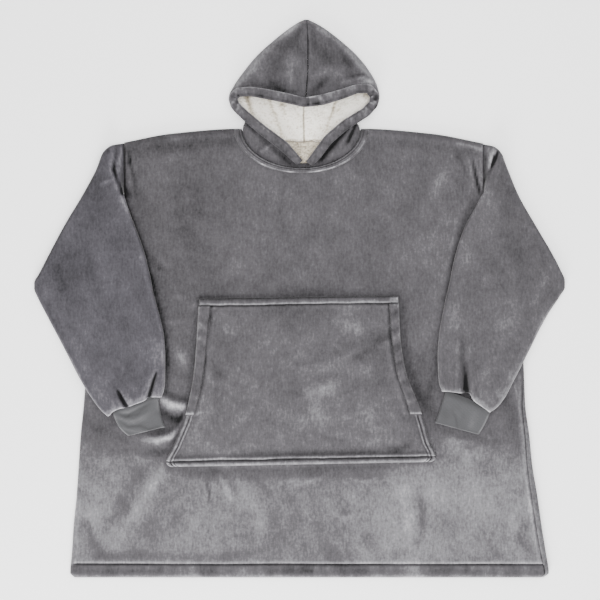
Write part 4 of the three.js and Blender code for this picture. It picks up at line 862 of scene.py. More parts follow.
def sleeve_surface(name):
    """Points and tones of one sleeve's outside, from the armhole to its end rolled in round the cuff."""
    table = sleeves[name]
    row = np.arange(len(sleeve_loft), dtype=float)
    fine = np.linspace(0, row[-1], 1200)
    section = {"row": row, "loft": sleeve_loft, **table}
    path = {key: along(section, "row", key, fine) for key in (*table, "loft")}
    middle_x, middle_y = (path["out_x"] + path["in_x"]) / 2, (path["out_y"] + path["in_y"]) / 2
    outside = np.hypot(np.diff(path["out_x"]), np.diff(path["out_y"]))
    centre = np.hypot(np.diff(middle_x), np.diff(middle_y))
    run = np.concatenate([[0], np.cumsum(0.5 * outside + 0.5 * centre)])
    at = np.interp(np.linspace(0, run[-1], sleeve_rings), run, fine)
    fold_radius, *counts = sleeve_ring
    onward = (0.42, -0.91) if name == "right" else (-0.36, -0.93)
    rings, tones = [], []
    for i, q in enumerate(at):
        here = {key: float(np.interp(q, fine, path[key])) for key in path}
        reach = min(fold_radius, 3 + 0.9 * i)
        x, y, lid, share = ring(here["out_x"], here["out_y"], here["in_x"], here["in_y"], reach, *counts)
        near_end = ease(q, row[-1] - 3.2, row[-1])
        out = along(end_shape[name], "share", "out", share) * near_end
        x, y = x + onward[0] * out, y + onward[1] * out
        rest = ease(q, 0.2, 1.3)
        # At the foot of the armhole the lower layer comes down close beside the body, so no gap shows.
        at_foot = 1 - ease(q, 2.4, 5)
        low = over_front * over_body(x, y, -34 + 28 * at_foot, -8 + 7 * at_foot) * rest
        high = 15.4 * over_body(x, y, -90, -2) * rest + here["loft"]
        soft = 0.9 * cloudy(x, y, 70, 71) + 0.5 * cloudy(x, y, 32, 72)
        high = high + soft * ease(i, 2, 14) + folds(x, y, sleeve_folds[name], sharp=1.8)
        high = np.maximum(high, low + 5 + 8 * ease(q, row[-1] - 2.6, row[-1] - 0.6))
        seam_drop = (3.0 if name == "right" else 0.6) * (1 - rounded(i * 3.8, 7))
        rings.append(np.stack([x, y, low + (high - seam_drop - low) * lid], -1))
        # A painted highlight along the end of the sleeve.
        painted_end_highlight = (0.1 if name == "right" else 0.02) * ease(i, sleeve_rings - 4, sleeve_rings - 1)
        tones.append(tone_of_sleeve(name, x, y, lid, share) + painted_end_highlight)
    rings, tones = roll_in(rings, tones, lid, sleeve_end)
    return np.array(rings), np.array(tones)


def tone_of_sleeve(name, x, y, lid, share):
    tone = 0.425 + 0.05 * cloudy(x, y, 64, 73) + 0.04 * cloudy(x + 0.3 * y, y * 0.5, 28, 74)
    tone += 0.025 * cloudy(x, y, 12, 75) + folds(x, y, sleeve_marks_and_painted_light[name], sharp=1.6)
    if name == "right":
        tone -= 0.06 * ease(y, -120, 20)
    # A painted highlight where the cloth turns round each fold, on the way down to the cuff.
    painted_fold_highlight = ease(1 - np.abs(2 * lid - 1), 0.1, 0.7) * (lid > 0.3)
    return tone + painted_fold_highlight * np.where(share < 0.5, 0.2, 0.1) * ease(-y, -20, 100)


def roll_in(rings, tones, lid, steps):
    """Closes a tube's mouth softly: further rings that curl in, each inset and moved on by so many mm."""
    last, before = rings[-1], rings[-4]
    ahead = (last - before)[:, :2].mean(0)
    ahead = ahead / np.hypot(*ahead)
    centre = last.mean(0)
    across = np.array([-ahead[1], ahead[0]])
    for inset, onward in steps:
        ringed = last.copy()
        sideways = (last[:, :2] - centre[:2]) @ across
        half = np.abs(sideways).max()
        squeeze = sideways - np.sign(sideways) * inset * ease(np.abs(sideways), 0.75 * half, half)
        ringed[:, :2] = centre[:2] + ((last[:, :2] - centre[:2]) @ ahead)[:, None] * ahead
        ringed[:, :2] += squeeze[:, None] * across + ahead * onward
        ringed[:, 2] = last[:, 2] + inset * (1 - 2 * lid)
        rings.append(ringed)
        # The rings that reach on out are painted lighter as a highlight, and those that curl back in darker
        # as shade.
        tones.append(tones[-1] + (0.12 if onward > 1 else -0.12))
    return rings, tones


# The sleeve of the right arm, in the photograph's cooler light, is a shade bluer than the body.
sleeve_fleece = flannel_fleece(
    "Flannel fleece, brushed plush on the sleeves", "#0c0c0e", "#47454a", "#6c6a6f", "#9e9ca1"
)
sleeve_cloth = {"right": sleeve_fleece, "left": body_fleece}
for name in ("right", "left"):
    points, tones = sleeve_surface(name)
    # Painted highlights and shade from the relief of the top layer.
    tones = tones + painted_relief_shading(points[..., 2], 4, 0.09) * (points[..., 2] > 10)
    if name == "right":
        points, tones = points[:, ::-1], tones[:, ::-1]
    cloth, nodes = sleeve_cloth[name], [f"sleeve_{name}"]
    tube = sew(f"sleeve_of_{name}_arm", points, None, tones, cloth, nodes, lean=0.3)

# Cuffs
# Tubes of fine rib knit, 45 mm deep, folded double, that gather the ends of the sleeves. They lie flat on the
# front.
cuffs = {
    "right": {
        "out_x": [-372, -370.5, -366, -358, -347, -341.5],
        "out_y": [-218, -230, -243, -258, -269, -273],
        "in_x": [-281, -280.5, -278.5, -275, -270.5, -268],
        "in_y": [-190, -200, -218, -236, -250, -254.5],
    },
    "left": {
        "out_x": [379, 378, 373, 366, 359, 357],
        "out_y": [-216, -228, -242, -256, -267, -270],
        "in_x": [291, 288, 282, 276, 271, 269.5],
        "in_y": [-182, -195, -214, -232, -243, -246],
    },
}
cuff_wall = 7.4
# How high each row of a cuff lies over the front.
cuff_lift = [4.6, 4.2, 2.6, 1.3, 0.7, 0.7]
cuff_folds = {
    "right": [
        [(-368, -230, 0, 4), (-340, -230, -2.2, 3.5), (-306, -212, -1.6, 3.5), (-296, -202, 0, 4)],
        [(-360, -236, 0, 5), (-330, -242, 1.6, 5), (-300, -226, 1.2, 5), (-288, -208, 0, 5)],
        [(-350, -256, 0, 4), (-322, -252, -1.2, 4), (-296, -238, 0, 4)],
    ],
    "left": [
        [(290, -206, 0, 5), (312, -224, 1.2, 6), (330, -246, 0, 6)],
        [(330, -210, 0, 4), (326, -232, -1.0, 4), (318, -252, 0, 4)],
        [(346, -220, 0, 6), (344, -244, 1.0, 6), (340, -262, 0, 6)],
    ],
}
# Tones on each cuff: painted shade in its creases and painted highlights on its ridges and lower rim.
cuff_marks_and_painted_light = {
    "right": [
        [(-366, -226, -0.1, 3), (-346, -236, -0.3, 2.6), (-322, -230, -0.24, 3), (-296, -208, -0.04, 3)],
        [(-358, -244, -0.1, 3), (-342, -255, -0.28, 2.6), (-319, -253, -0.22, 3), (-300, -260, -0.24, 3),
         (-280, -256, -0.2, 3)],
        [(-366, -236, 0.12, 4), (-340, -246, 0.1, 4), (-308, -238, 0.06, 5)],
        [(-352, -258, 0.16, 3.4), (-330, -265, 0.18, 4), (-296, -266, 0.12, 3), (-272, -254, 0.1, 3)],
    ],
    "left": [
        [(374, -236, 0.14, 3), (360, -264, 0.14, 3)],
        [(300, -190, -0.06, 5), (330, -200, -0.1, 5), (366, -216, -0.1, 4)],
        [(348, -230, 0.12, 10), (340, -252, 0.12, 9)],
        [(303, -220, -0.08, 3), (311, -238, -0.2, 2.6), (314, -256, -0.16, 3)],
        [(286, -212, -0.08, 8), (292, -236, -0.1, 8)],
    ],
}

# A ring round a cuff, its last rings inwards, and the width that the ribs are spaced over.
cuff_ring = (3.6, 64, 26, 8)
cuff_end = ((0.5, 0.9), (1.3, 1.2), (2.0, 0.6), (2.6, -2), (2.9, -9))
cuff_across = 90
rib_spacing = 2.4

# Rib knit of polyester with some elastane: smooth, matt, with fine upright ribs 2.4 mm apart, drawn a little
# coarser than the real ones so that they show.
rib_knit = new_material("Rib knit, fine and matt")
place = add_node(rib_knit, "ShaderNodeTexCoord", "Object")
ribs = add_node(rib_knit, "ShaderNodeAttribute", "Fac", {"attribute_name": "rib_place"})
wave = add_node(rib_knit, "ShaderNodeMath", "Value", {"operation": "SINE"}, links={0: ribs})
# Stray fibres about 2 mm apart.
stray = {"Scale": 420, "Detail": 3, "Roughness": 0.6}
fuzz = add_node(rib_knit, "ShaderNodeTexNoise", "Fac", (), stray, {"Vector": place})
sum_up = {"operation": "MULTIPLY_ADD"}
# The tone from each piece, with its painted light and shade.
level = add_node(rib_knit, "ShaderNodeAttribute", "Fac", {"attribute_name": "nap_tone_and_painted_light"})
for pattern, share in ((wave, 0.05), (fuzz, 0.16)):
    level = add_node(rib_knit, "ShaderNodeMath", "Value", sum_up, {1: share}, {0: pattern, 2: level})
stops = [(0.0, "#161616"), (0.58, "#464648"), (1.0, "#7c7c7e")]
colour = add_node(rib_knit, "ShaderNodeValToRGB", "Color", links={"Fac": level}, stops=stops)
height = add_node(rib_knit, "ShaderNodeMath", "Value", sum_up, {1: 0.7}, {0: wave, 2: fuzz})
finish = {"Roughness": 0.85, "Specular IOR Level": 0.25, "Sheen Weight": 0.15, "Sheen Roughness": 0.5}
matt_cloth(rib_knit, colour, height, 0.35, 0.0006, finish)

for name in ("right", "left"):
    table = cuffs[name]
    row = np.arange(len(cuff_lift), dtype=float)
    section = {"row": row, "lift": cuff_lift, **table}
    rings, tones = [], []
    for q in np.linspace(0, row[-1], 40):
        here = {key: float(along(section, "row", key, np.array(q))) for key in (*table, "lift")}
        x, y, lid, _ = ring(here["out_x"], here["out_y"], here["in_x"], here["in_y"], *cuff_ring)
        low = front_top(x, y) + 0.7 + here["lift"]
        relief = 0.6 * folds(x, y, cuff_folds[name]) + 0.25 * cloudy(x, y, 14, 81)
        rings.append(np.stack([x, y, low + (cuff_wall + relief) * lid], -1))
        tone = 0.43 + 0.03 * cloudy(x, y, 30, 82) + 0.7 * folds(x, y, cuff_marks_and_painted_light[name], sharp=1.6)
        # A painted shadow where the cuff comes out from under the sleeve's end.
        tones.append(tone - 0.16 * (1 - ease(q, 0.4, 1.1)) + 0 * lid)
    rings, tones = roll_in(rings, tones, lid, cuff_end)
    points, tones = np.array(rings), np.array(tones)
    # Painted highlights and shade from the relief.
    tones += painted_relief_shading(points[..., 2], 4, 0.12)
    # Where each point is round the cuff, as an angle that runs full circle from rib to rib.
    share = ring(*(table[key][2] for key in ("out_x", "out_y", "in_x", "in_y")), *cuff_ring)[3]
    rib_place = np.repeat((share * cuff_across / rib_spacing * 2 * np.pi)[None, :], len(points), 0)
    if name == "right":
        points, tones, rib_place = points[:, ::-1], tones[:, ::-1], rib_place[:, ::-1]
    cuff = sew(f"rib_cuff_{name}", points, None, tones, rib_knit, [f"cuff_{name}"])
    holder = cuff.data.attributes.new("rib_place", "FLOAT", "POINT")
    holder.data.foreach_set("value", rib_place.ravel().astype(np.float32))

# Hood
# Two mirrored halves of the same cloth joined by one seam over the head. The lower edge is sewn into the neck
# hole, the back lies on the surface, and the front stands up a little over the face opening.
# Its left and right folds, the height of its middle, and where the seam runs.
hood_outline = {
    "y": [260, 275, 300, 325, 341, 355, 368, 385, 403, 425, 455, 485, 515, 540, 552, 557],
    "left": [-16, -70, -104, -113, -113, -109, -125, -138, -141, -131, -110, -85, -52, -20, -1, 10],
    "right": [24, 78, 112, 121, 120, 114, 139, 156, 160, 155, 139, 115, 82, 49, 28, 17],
    "deck": [14, 16, 20, 24, 26, 28, 29, 30, 30, 29, 27, 25, 22, 19, 16, 13],
    "seam": [5, 5, 6, 7, 7, 8, 9, 11, 13, 14.5, 16.5, 16.8, 16.6, 15.5, 14.5, 13.5],
}
hood_folds = [
    [(34, 410, 0, 7), (44, 428, -2.8, 8), (62, 448, 0, 8)],
    [(20, 414, 0, 6), (30, 440, 3, 8), (46, 466, 0, 9)],
    [(60, 420, 0, 9), (74, 446, 2.6, 11), (96, 470, 0, 10)],
    [(-36, 412, 0, 8), (-50, 428, -2.2, 9), (-68, 450, 0, 9)],
    [(-16, 414, 0, 10), (-18, 450, 2.4, 12), (-14, 486, 0, 11)],
    [(100, 424, 0, 4), (126, 430, 2.6, 4), (150, 424, 0, 4)],
    [(112, 438, 0, 4), (138, 444, 2.2, 4), (152, 436, 0, 4)],
    [(-134, 414, 0, 4), (-100, 424, 2.4, 4), (-60, 416, 0, 4)],
    [(80, 506, 0, 12), (92, 476, -2.5, 12), (112, 450, 0, 12)],
    [(-70, 492, 0, 12), (-50, 470, -2.2, 12), (-40, 440, 0, 10)],
    [(-6, 480, 0, 3.5), (-16, 500, -1.8, 3.5), (-30, 512, 0, 4)],
    [(-90, 330, 0, 6), (-60, 312, -2.5, 7), (-28, 282, 0, 7)],
    [(-78, 290, 0, 3), (-66, 300, 2, 3), (-50, 310, 0, 3)],
    [(112, 340, -3, 4), (102, 326, -6, 4), (97, 312, -2, 4)],
    [(98, 338, -5, 5), (74, 314, -8, 6), (50, 288, -6, 6), (40, 276, -2, 6)],
    [(84, 300, 2, 9), (62, 286, 2, 9)],
    [(-104, 346, -3, 5), (-70, 318, -2.6, 8), (-30, 282, -3, 8), (-12, 270, -2, 6)],
]
# Tones on the hood, paths of (x, y, tone, half width): painted shadows under the arms of the opening's hem
# and in its creases, painted highlights along its folded edges, and some patches of the pile.
hood_marks_and_painted_light = [
    [(30, 410, -0.12, 8), (42, 424, -0.17, 9), (58, 440, -0.05, 9)],
    [(-34, 412, -0.12, 11), (-50, 428, -0.1, 11)],
    [(-15, 420, 0.06, 10), (-18, 462, 0.09, 12), (-15, 496, 0.04, 9)],
    [(-104, 432, 0.05, 14), (-78, 458, 0.08, 15), (-54, 486, 0.04, 12)],
    [(26, 442, 0.08, 8), (62, 452, 0.12, 10), (88, 440, 0.06, 9)],
    [(0, 534, -0.16, 8), (-14, 512, -0.12, 10), (2, 492, -0.1, 8)],
    [(28, 530, -0.12, 8), (32, 500, -0.14, 12), (56, 478, -0.1, 12)],
    [(84, 492, -0.12, 9), (100, 466, -0.16, 10)],
    [(-30, 496, -0.1, 9), (-42, 474, -0.06, 9)],
    [(-8, 543, 0.22, 7), (-34, 522, 0.16, 7), (-68, 490, 0.14, 7), (-104, 446, 0.14, 8),
     (-122, 424, 0.16, 8)],
    [(38, 537, 0.18, 6), (70, 514, 0.16, 6), (106, 478, 0.18, 7), (140, 438, 0.18, 8)],
    [(92, 440, -0.12, 3), (126, 446, -0.2, 3), (146, 436, -0.16, 3)],
    [(86, 430, 0.1, 4), (124, 438, 0.2, 4), (144, 430, 0.14, 4)],
    [(-118, 420, -0.16, 3.5), (-90, 424, -0.18, 3.5), (-60, 420, -0.12, 4), (-10, 410, -0.16, 4)],
    [(96, 341, -0.12, 3), (82, 326, -0.34, 3.4), (66, 310, -0.5, 4.4), (52, 294, -0.56, 5),
     (42, 276, -0.3, 4)],
    [(-104, 346, -0.22, 4), (-79, 325, -0.08, 7), (-49, 299, -0.1, 9), (-30, 280, -0.2, 7),
     (-22, 272, -0.1, 5)],
    [(112, 346, -0.34, 2.4), (105, 330, -0.38, 2.6), (97, 312, -0.2, 2.4), (93, 303, 0, 2)],
    [(100, 296, 0.1, 8), (70, 280, 0.12, 8)],
    [(-76, 292, 0.14, 2.4), (-52, 310, 0.1, 2.4)],
]
hood_peak = 558
hood_wall = 5.2
# The middle line of the face opening's hem, from the front of the neck round the face and back, and its
# width.
hem_line = {
    "x": [
        1, -31, -75, -108, -128, -133, -122, -96, -63, -23, 9,
        45, 83, 113, 138, 149, 147, 131, 93, 57, 33, 18.5,
    ],
    "y": [
        270, 303, 336, 364, 384, 399, 410, 411, 405, 397, 389,
        394, 405, 416, 417, 403, 387, 370, 347, 316, 284, 268,
    ],
    "wide": [15, 21, 20, 19, 18, 18, 18, 19, 20, 20, 19, 21, 20, 18, 18, 18, 19, 20, 20, 20, 19, 15],
}


def opening_path(count):
    """Points, directions and widths along the opening's hem."""
    row = np.arange(len(hem_line["x"]), dtype=float)
    fine = np.linspace(0, row[-1], 4000)
    kernel = np.hanning(121) / np.hanning(121).sum()
    rough = [np.interp(fine, row, hem_line[key]) for key in ("x", "y")]
    padded = [np.pad(line, 60, mode="reflect", reflect_type="odd") for line in rough]
    x, y = (np.convolve(line, kernel, "valid") for line in padded)
    wide = np.interp(fine, row, hem_line["wide"])
    run = np.concatenate([[0], np.cumsum(np.hypot(np.diff(x), np.diff(y)))])
    at = np.linspace(0, run[-1], count)
    x, y, wide = np.interp(at, run, x), np.interp(at, run, y), np.interp(at, run, wide)
    dx, dy = np.gradient(x), np.gradient(y)
    size = np.hypot(dx, dy)
    return x, y, dx / size, dy / size, wide, at


def hood_height(x, y, edge_in):
    """Height of the hood's top layer: down at its fold and at the neck seam, and up in the middle."""
    deck = along(hood_outline, "y", "deck", y)
    seat = 13 - 6 * ease(y, 334, 350)
    peak = rounded(hood_peak - y, 24)
    rise = rounded(edge_in * 0.8, 34)
    puff = 0.8 * cloudy(x, y, 55, 91) + 0.5 * cloudy(x, y, 26, 92)
    loose = ease(edge_in, 3, 26)
    return seat + (deck - seat) * rise * peak + (folds(x, y, hood_folds) + puff) * loose


def edge_steps(depth, count):
    """Distances in from an edge, close together near it."""
    return depth * (1 - np.cos(np.linspace(0, np.pi / 2, count))) ** 0.8


def hood_half(side):
    """Both layers of one half in one grid: the top one from the seam to the fold, then the back one to the
    seam. Gives its outer points, where its inner ones differ, and lid, 1 on top and 0 behind."""
    rows_y = np.concatenate([np.linspace(260.4, 545, 92), 557 - edge_steps(12, 9)[::-1][1:]])
    out = -1 if side == "left" else 1
    edge = along(hood_outline, "y", side, rows_y)
    below = rows_y < neck_y
    round_neck = np.clip(1 - ((neck_y - rows_y) / (front_neck - 0.5)) ** 2, 0, 1)
    tucked = neck_x + out * (neck_half - 0.5) * np.sqrt(round_neck)
    edge = np.where(below, out * np.minimum(out * edge, out * tucked), edge)
    seam = along(hood_outline, "y", "seam", rows_y) + out * 0.04
    width = np.abs(edge - seam)
    reach = np.minimum(42, 0.6 * width)
    near = reach[:, None] * (1 - np.cos(np.linspace(0, np.pi / 2, 16)))
    far = reach[:, None] + (width - reach)[:, None] * np.linspace(0, 1, 34)[1:]
    near_seam = width[:, None] - np.array([2.4, 1.2, 0.4, 0.08, 0])
    edge_in = np.hstack([near, far[:, :-1], np.maximum(near_seam, far[:, -2:-1])])
    x = edge[:, None] - out * edge_in
    y = np.repeat(rows_y[:, None], x.shape[1], 1)
    z = hood_height(x, y, edge_in)
    seam_in = width[:, None] - edge_in
    groove = 1.7 * ease(rows_y, 398, 410)[:, None] * np.exp(-((seam_in / 1.4) ** 1.3))
    z -= groove + 0.5 * cloudy(y * 0, y, 14, 93) * hump(seam_in, 0, 6)
    fold_z = np.repeat(z[:, :1], 9, 1)
    turn = np.linspace(0, np.pi / 2, 9)[1:]
    tuck = np.minimum(7, 0.3 * width)[:, None]
    under_x = edge[:, None] - out * tuck * (1 - np.cos(turn))
    lifted = np.where(below, 6.5, 0)[:, None]
    under_z = lifted + (fold_z[:, 1:] - lifted) * (1 - np.sin(turn))
    flat_x = edge[:, None] - out * (tuck + (width[:, None] - tuck) * np.linspace(0, 1, 10)[1:])
    flat_z = lifted + 0 * flat_x
    gx = np.hstack([x[:, ::-1], under_x, flat_x])
    gy = np.repeat(rows_y[:, None], gx.shape[1], 1)
    gz = np.hstack([z[:, ::-1], under_z, flat_z])
    lid = np.hstack([np.ones(x.shape), np.zeros(under_x.shape), np.zeros(flat_x.shape)])
    pull = np.clip((gx - seam[:, None]) * out / np.maximum(width[:, None], 1), 0, 1)
    ix = gx - out * hood_wall * ease(pull, 0.55, 1)
    from_fold = np.full(gx.shape, 50.0)
    from_fold[:, : edge_in.shape[1]] = edge_in[:, ::-1]
    iz = np.where(lid > 0, np.maximum(gz - hood_wall, 7 * ease(from_fold, 0, 8)), hood_wall)
    return gx, gy, gz, ix, iz, lid


def inside_path(x, y, path_x, path_y):
    """True where a point is inside a closed path."""
    crossed = np.zeros(x.shape, int)
    for ax, ay, bx, by in zip(path_x, path_y, np.roll(path_x, -1), np.roll(path_y, -1)):
        if ay == by:
            continue
        spans = (ay > y) != (by > y)
        crossed += spans & (x < (bx - ax) * (y - ay) / (by - ay) + ax)
    return crossed % 2 == 1


hole_x, hole_y, *_ = opening_path(400)
for side, nodes in (("left", ["hood_right"]), ("right", ["hood_left"])):
    gx, gy, gz, ix, iz, lid = hood_half(side)
    quad_x = (gx[:-1, :-1] + gx[1:, 1:]) / 2
    quad_y = (gy[:-1, :-1] + gy[1:, 1:]) / 2
    on_top = (lid[:-1, :-1] > 0) & (lid[1:, 1:] > 0)
    opened = inside_path(quad_x, quad_y, hole_x, hole_y) & on_top
    tone = 0.36 + 0.08 * cloudy(gx, gy, 40, 95) + 0.05 * cloudy(gx, gy, 18, 96)
    tone += 0.03 * cloudy(gx, gy, 9, 97)
    # Painted highlights and shade from the creases and relief, and a painted highlight along the outer folds
    # near the top.
    tone += 1.35 * folds(gx, gy, hood_marks_and_painted_light, sharp=1.6) + painted_relief_shading(gz, 4, 0.09) * lid
    rim = depth_inside(hood_outline, gx, gy, -np.inf, np.inf)
    tone += 0.15 * (1 - ease(rim + 5 * cloudy(gx, gy, 20, 98), 3, 20)) * ease(gy, 395, 425)
    dark_seam = (0.46 - 0.24 * ease(gy, 515, 548) + 0.12 * cloudy(gy * 0, gy, 15, 99)) * ease(gy, 300, 380)
    tone -= dark_seam * hump(gx, along(hood_outline, "y", "seam", gy), 1) * lid
    parts = [np.stack([gx, gy, gz], -1), np.stack([ix, gy, iz], -1), tone, opened]
    if side == "left":
        parts = [part[:, ::-1] for part in parts]
    outer, inner, tone, opened = parts
    name = f"hood_half_{side}"
    half = sew(name, outer, inner, tone, body_fleece, nodes, holes=opened, lean=0.0)

# Hood hem
# The edge of the face opening is turned in over 20 mm and stitched down as a soft padded casing. The
# stitching draws it up in fine puckers, most of all at the middle of the brow, where the seam comes in.
px, py, dx, dy, wide, at = opening_path(420)
round_section = np.linspace(0, 2 * np.pi, 33)
from_fold = depth_inside(hood_outline, px, py, -np.inf, np.inf)
bed = hood_height(px, py, 60 * ease(from_fold, -10, 90))
bed = np.convolve(np.pad(bed, 20, mode="edge"), np.ones(41) / 41, "valid")
brow = hump(px, 26, 34) * (py > 380)
corner = hump(px, 148, 12) + 0.7 * hump(px, -130, 10)
grid = []
tones = []
for turn in round_section:
    reach = wide / 2 * np.sign(np.cos(turn)) * np.abs(np.cos(turn)) ** 0.85
    pucker = cloudy(at, at * 0 + 7 * np.cos(turn), 5.0, 101) * (0.5 + 1.9 * brow + 1.8 * corner)
    pucker += 0.5 * cloudy(at, at * 0 + 3 * np.sin(turn), 17, 102)
    ridge = 4.2 + pucker if np.sin(turn) >= 0 else 6.6
    stitched = 1.8 * hump(reach / wide, -0.34, 0.07) * (np.sin(turn) > 0)
    lift = np.sign(np.sin(turn)) * np.abs(np.sin(turn)) ** 0.8 * (ridge - stitched)
    grid.append(np.stack([px - dy * reach, py + dx * reach, bed + 5.6 + lift], -1))
    # Lighter on the puckers' crests and at the band's two edges as painted highlights, and darker at the
    # stitching as painted shade.
    tone = 0.42 + 0.07 * cloudy(at, at * 0 + turn, 22, 103) + 0.16 * pucker * (np.sin(turn) > 0)
    tones.append(tone - 0.1 * stitched / 1.8 + 0.1 * ease(np.abs(np.cos(turn)), 0.8, 1))
grid, tones = np.array(grid), np.array(tones)
hem = sew("hood_opening_hem", grid, None, tones, body_fleece, ["hood_hem"])

# Sherpa lining
# The inside of the hood's back and, below the back-neck seam, of the back panel, where they show in the
# opening. Polyester knit with a deep pile, cream coloured, in two halves with a seam up the middle.
# Sherpa, a polyester pile steamed into small round curls: dull and soft, shaded between the curls, with a
# pale bloom where it turns away.
sherpa = new_material("Sherpa, curled pile")
place = add_node(sherpa, "ShaderNodeTexCoord", "Object")
# Curls about 3 mm across, with fine fibres on them.
rounds = {"Scale": 300, "Smoothness": 0.6}
soft = {"feature": "SMOOTH_F1"}
curls = add_node(sherpa, "ShaderNodeTexVoronoi", "Distance", soft, rounds, {"Vector": place})
fine = {"Scale": 520, "Detail": 4, "Distortion": 1.2}
fibres = add_node(sherpa, "ShaderNodeTexNoise", "Fac", (), fine, {"Vector": place})
# The tone from each piece, with its painted light and shade.
level = add_node(sherpa, "ShaderNodeAttribute", "Fac", {"attribute_name": "nap_tone_and_painted_light"})
for pattern, share in ((curls, -0.22), (fibres, 0.22)):
    level = add_node(sherpa, "ShaderNodeMath", "Value", sum_up, {1: share}, {0: pattern, 2: level})
stops = [(0.0, "#756a56"), (0.42, "#ccc2af"), (0.8, "#fffaf0")]
colour = add_node(sherpa, "ShaderNodeValToRGB", "Color", links={"Fac": level}, stops=stops)
height = add_node(sherpa, "ShaderNodeMath", "Value", sum_up, {1: -1.0}, {0: curls, 2: fibres})
finish = {
    "Roughness": 1.0,
    "Specular IOR Level": 0.1,
    "Sheen Weight": 0.8,
    "Sheen Roughness": 0.7,
    "Sheen Tint": linear("#fff7ea"),
}
matt_cloth(sherpa, colour, height, 0.7, 0.0016, finish)

lining_foot = 6.3
lining_seam_y = 313
lining_folds = [
    [(-64, 398, 0, 6), (-48, 362, -3.0, 5), (-34, 326, -1.5, 5), (-26, 312, 0, 5)],
    [(-108, 404, -2, 5), (-100, 380, -3, 5), (-92, 360, 0, 5)],
    [(72, 398, 0, 5), (62, 366, -3.0, 4.5), (50, 332, -1.5, 5), (42, 312, 0, 5)],
    [(-84, 400, 0, 10), (-70, 360, 2.5, 11), (-50, 326, 0, 10)],
    [(-30, 396, 0, 10), (-16, 356, 2.0, 11), (-10, 322, 0, 9)],
    [(90, 396, 0, 10), (80, 366, 2.2, 11), (60, 336, 0, 10)],
    [(36, 396, 0, 9), (30, 360, 1.8, 10), (22, 326, 0, 9)],
]
# Painted shade in the sherpa's creases, and its seams as dark lines.
lining_seams_and_painted_shade = [
    [(-106, 408, -0.3, 6), (-100, 388, -0.24, 5), (-94, 366, -0.06, 5)],
    [(-60, 398, -0.2, 3), (-54, 380, -0.12, 4), (-46, 360, -0.12, 4), (-34, 326, -0.06, 4)],
    [(-36, 392, -0.08, 6), (-30, 370, -0.06, 6)],
    [(74, 400, -0.2, 2.6), (66, 376, -0.18, 2.6), (58, 352, -0.08, 3), (52, 334, -0.04, 3)],
    [(120, 410, -0.06, 10), (140, 404, -0.1, 8)],
    [(9, 394, -0.22, 1.5), (8, 356, -0.22, 1.5), (9.5, 314, -0.22, 1.5)],
    [(-30, 315, -0.18, 1.8), (-14, 317, -0.16, 1.8), (6, 314, -0.18, 1.8), (26, 317, -0.16, 1.8),
     (46, 314, -0.16, 1.8)],
]


def curly(x, y, seed):
    """Heights of sherpa curls: round tufts of two sizes crowding each other."""
    small = np.abs(cloudy(x, y, 3.6, seed)) + 0.6 * np.abs(cloudy(x, y, 2.3, seed + 1))
    return 1.5 - 1.5 * small + 0.5 * cloudy(x, y, 9, seed + 2)


def lining_piece(name, x, y, tint, nodes):
    """One piece of sherpa over these plan points, rounded at its edges, lying inside the back of the hood."""
    row, column = np.arange(x.shape[0])[:, None], np.arange(x.shape[1])[None, :]
    edge = np.minimum(np.minimum(column, column[:, ::-1]), np.minimum(row, row[::-1])) * 1.4
    bumps = curly(x, y, 111)
    z = lining_foot + 0.1 + (3.0 + bumps + folds(x, y, lining_folds)) * (0.55 + 0.45 * rounded(edge, 4))
    # The curls' tops lighter and the hollows between them darker, as painted shade.
    tone = tint + 0.2 * (bumps - 0.9) + 0.06 * cloudy(x, y, 24, 114)
    tone += 3.3 * folds(x, y, lining_seams_and_painted_shade, sharp=1.6)
    face, foot = np.stack([x, y, z], -1), np.stack([x, y, 0 * z + lining_foot], -1)
    piece = sew(name, face, foot, tone, sherpa, nodes)


def wavy_seam(gx):
    """How far the seam across the back of the neck strays from a straight line."""
    return (2.2 * cloudy(gx, gx * 0, 9, 117) + 1.2 - ((gx - 9) / 36) ** 2) * (np.abs(gx - 9) < 70)


ys = np.linspace(lining_seam_y + 0.6, 434, 86)
seam = 8.5 + 0.9 * cloudy(ys, ys * 0, 22, 115)
left_edge = np.maximum(along(hood_outline, "y", "left", ys) + 12, -80 - 1.2 * (ys - 336))
right_edge = np.minimum(along(hood_outline, "y", "right", ys) - 12, 78 + 1.2 * (ys - 330))
for name, low, high, nodes in (
    ("sherpa_of_hood_left", left_edge, seam - 0.15, ["hood_lining_right"]),
    ("sherpa_of_hood_right", seam + 0.15, right_edge, ["hood_lining_left"]),
):
    gx = low[:, None] + (high - low)[:, None] * np.linspace(0, 1, 96)
    gy = ys[:, None] + wavy_seam(gx) * (1 - ease(ys, lining_seam_y, 345))[:, None]
    lining_piece(name, gx, gy, 0.84, nodes)

ys = np.linspace(266, lining_seam_y - 0.1, 44)
half = 24 + (ys - 266) * 0.75
gx = neck_x + 2 + half[:, None] * np.linspace(-1, 1, 84)
gy = ys[:, None] + wavy_seam(gx) * ease(ys, 286, 311)[:, None]
# This piece lies deep in the neck opening and is given a much lower tone, as painted shade.
lining_piece("sherpa_below_back_neck", gx, gy, 0.34, ["neck_lining"])

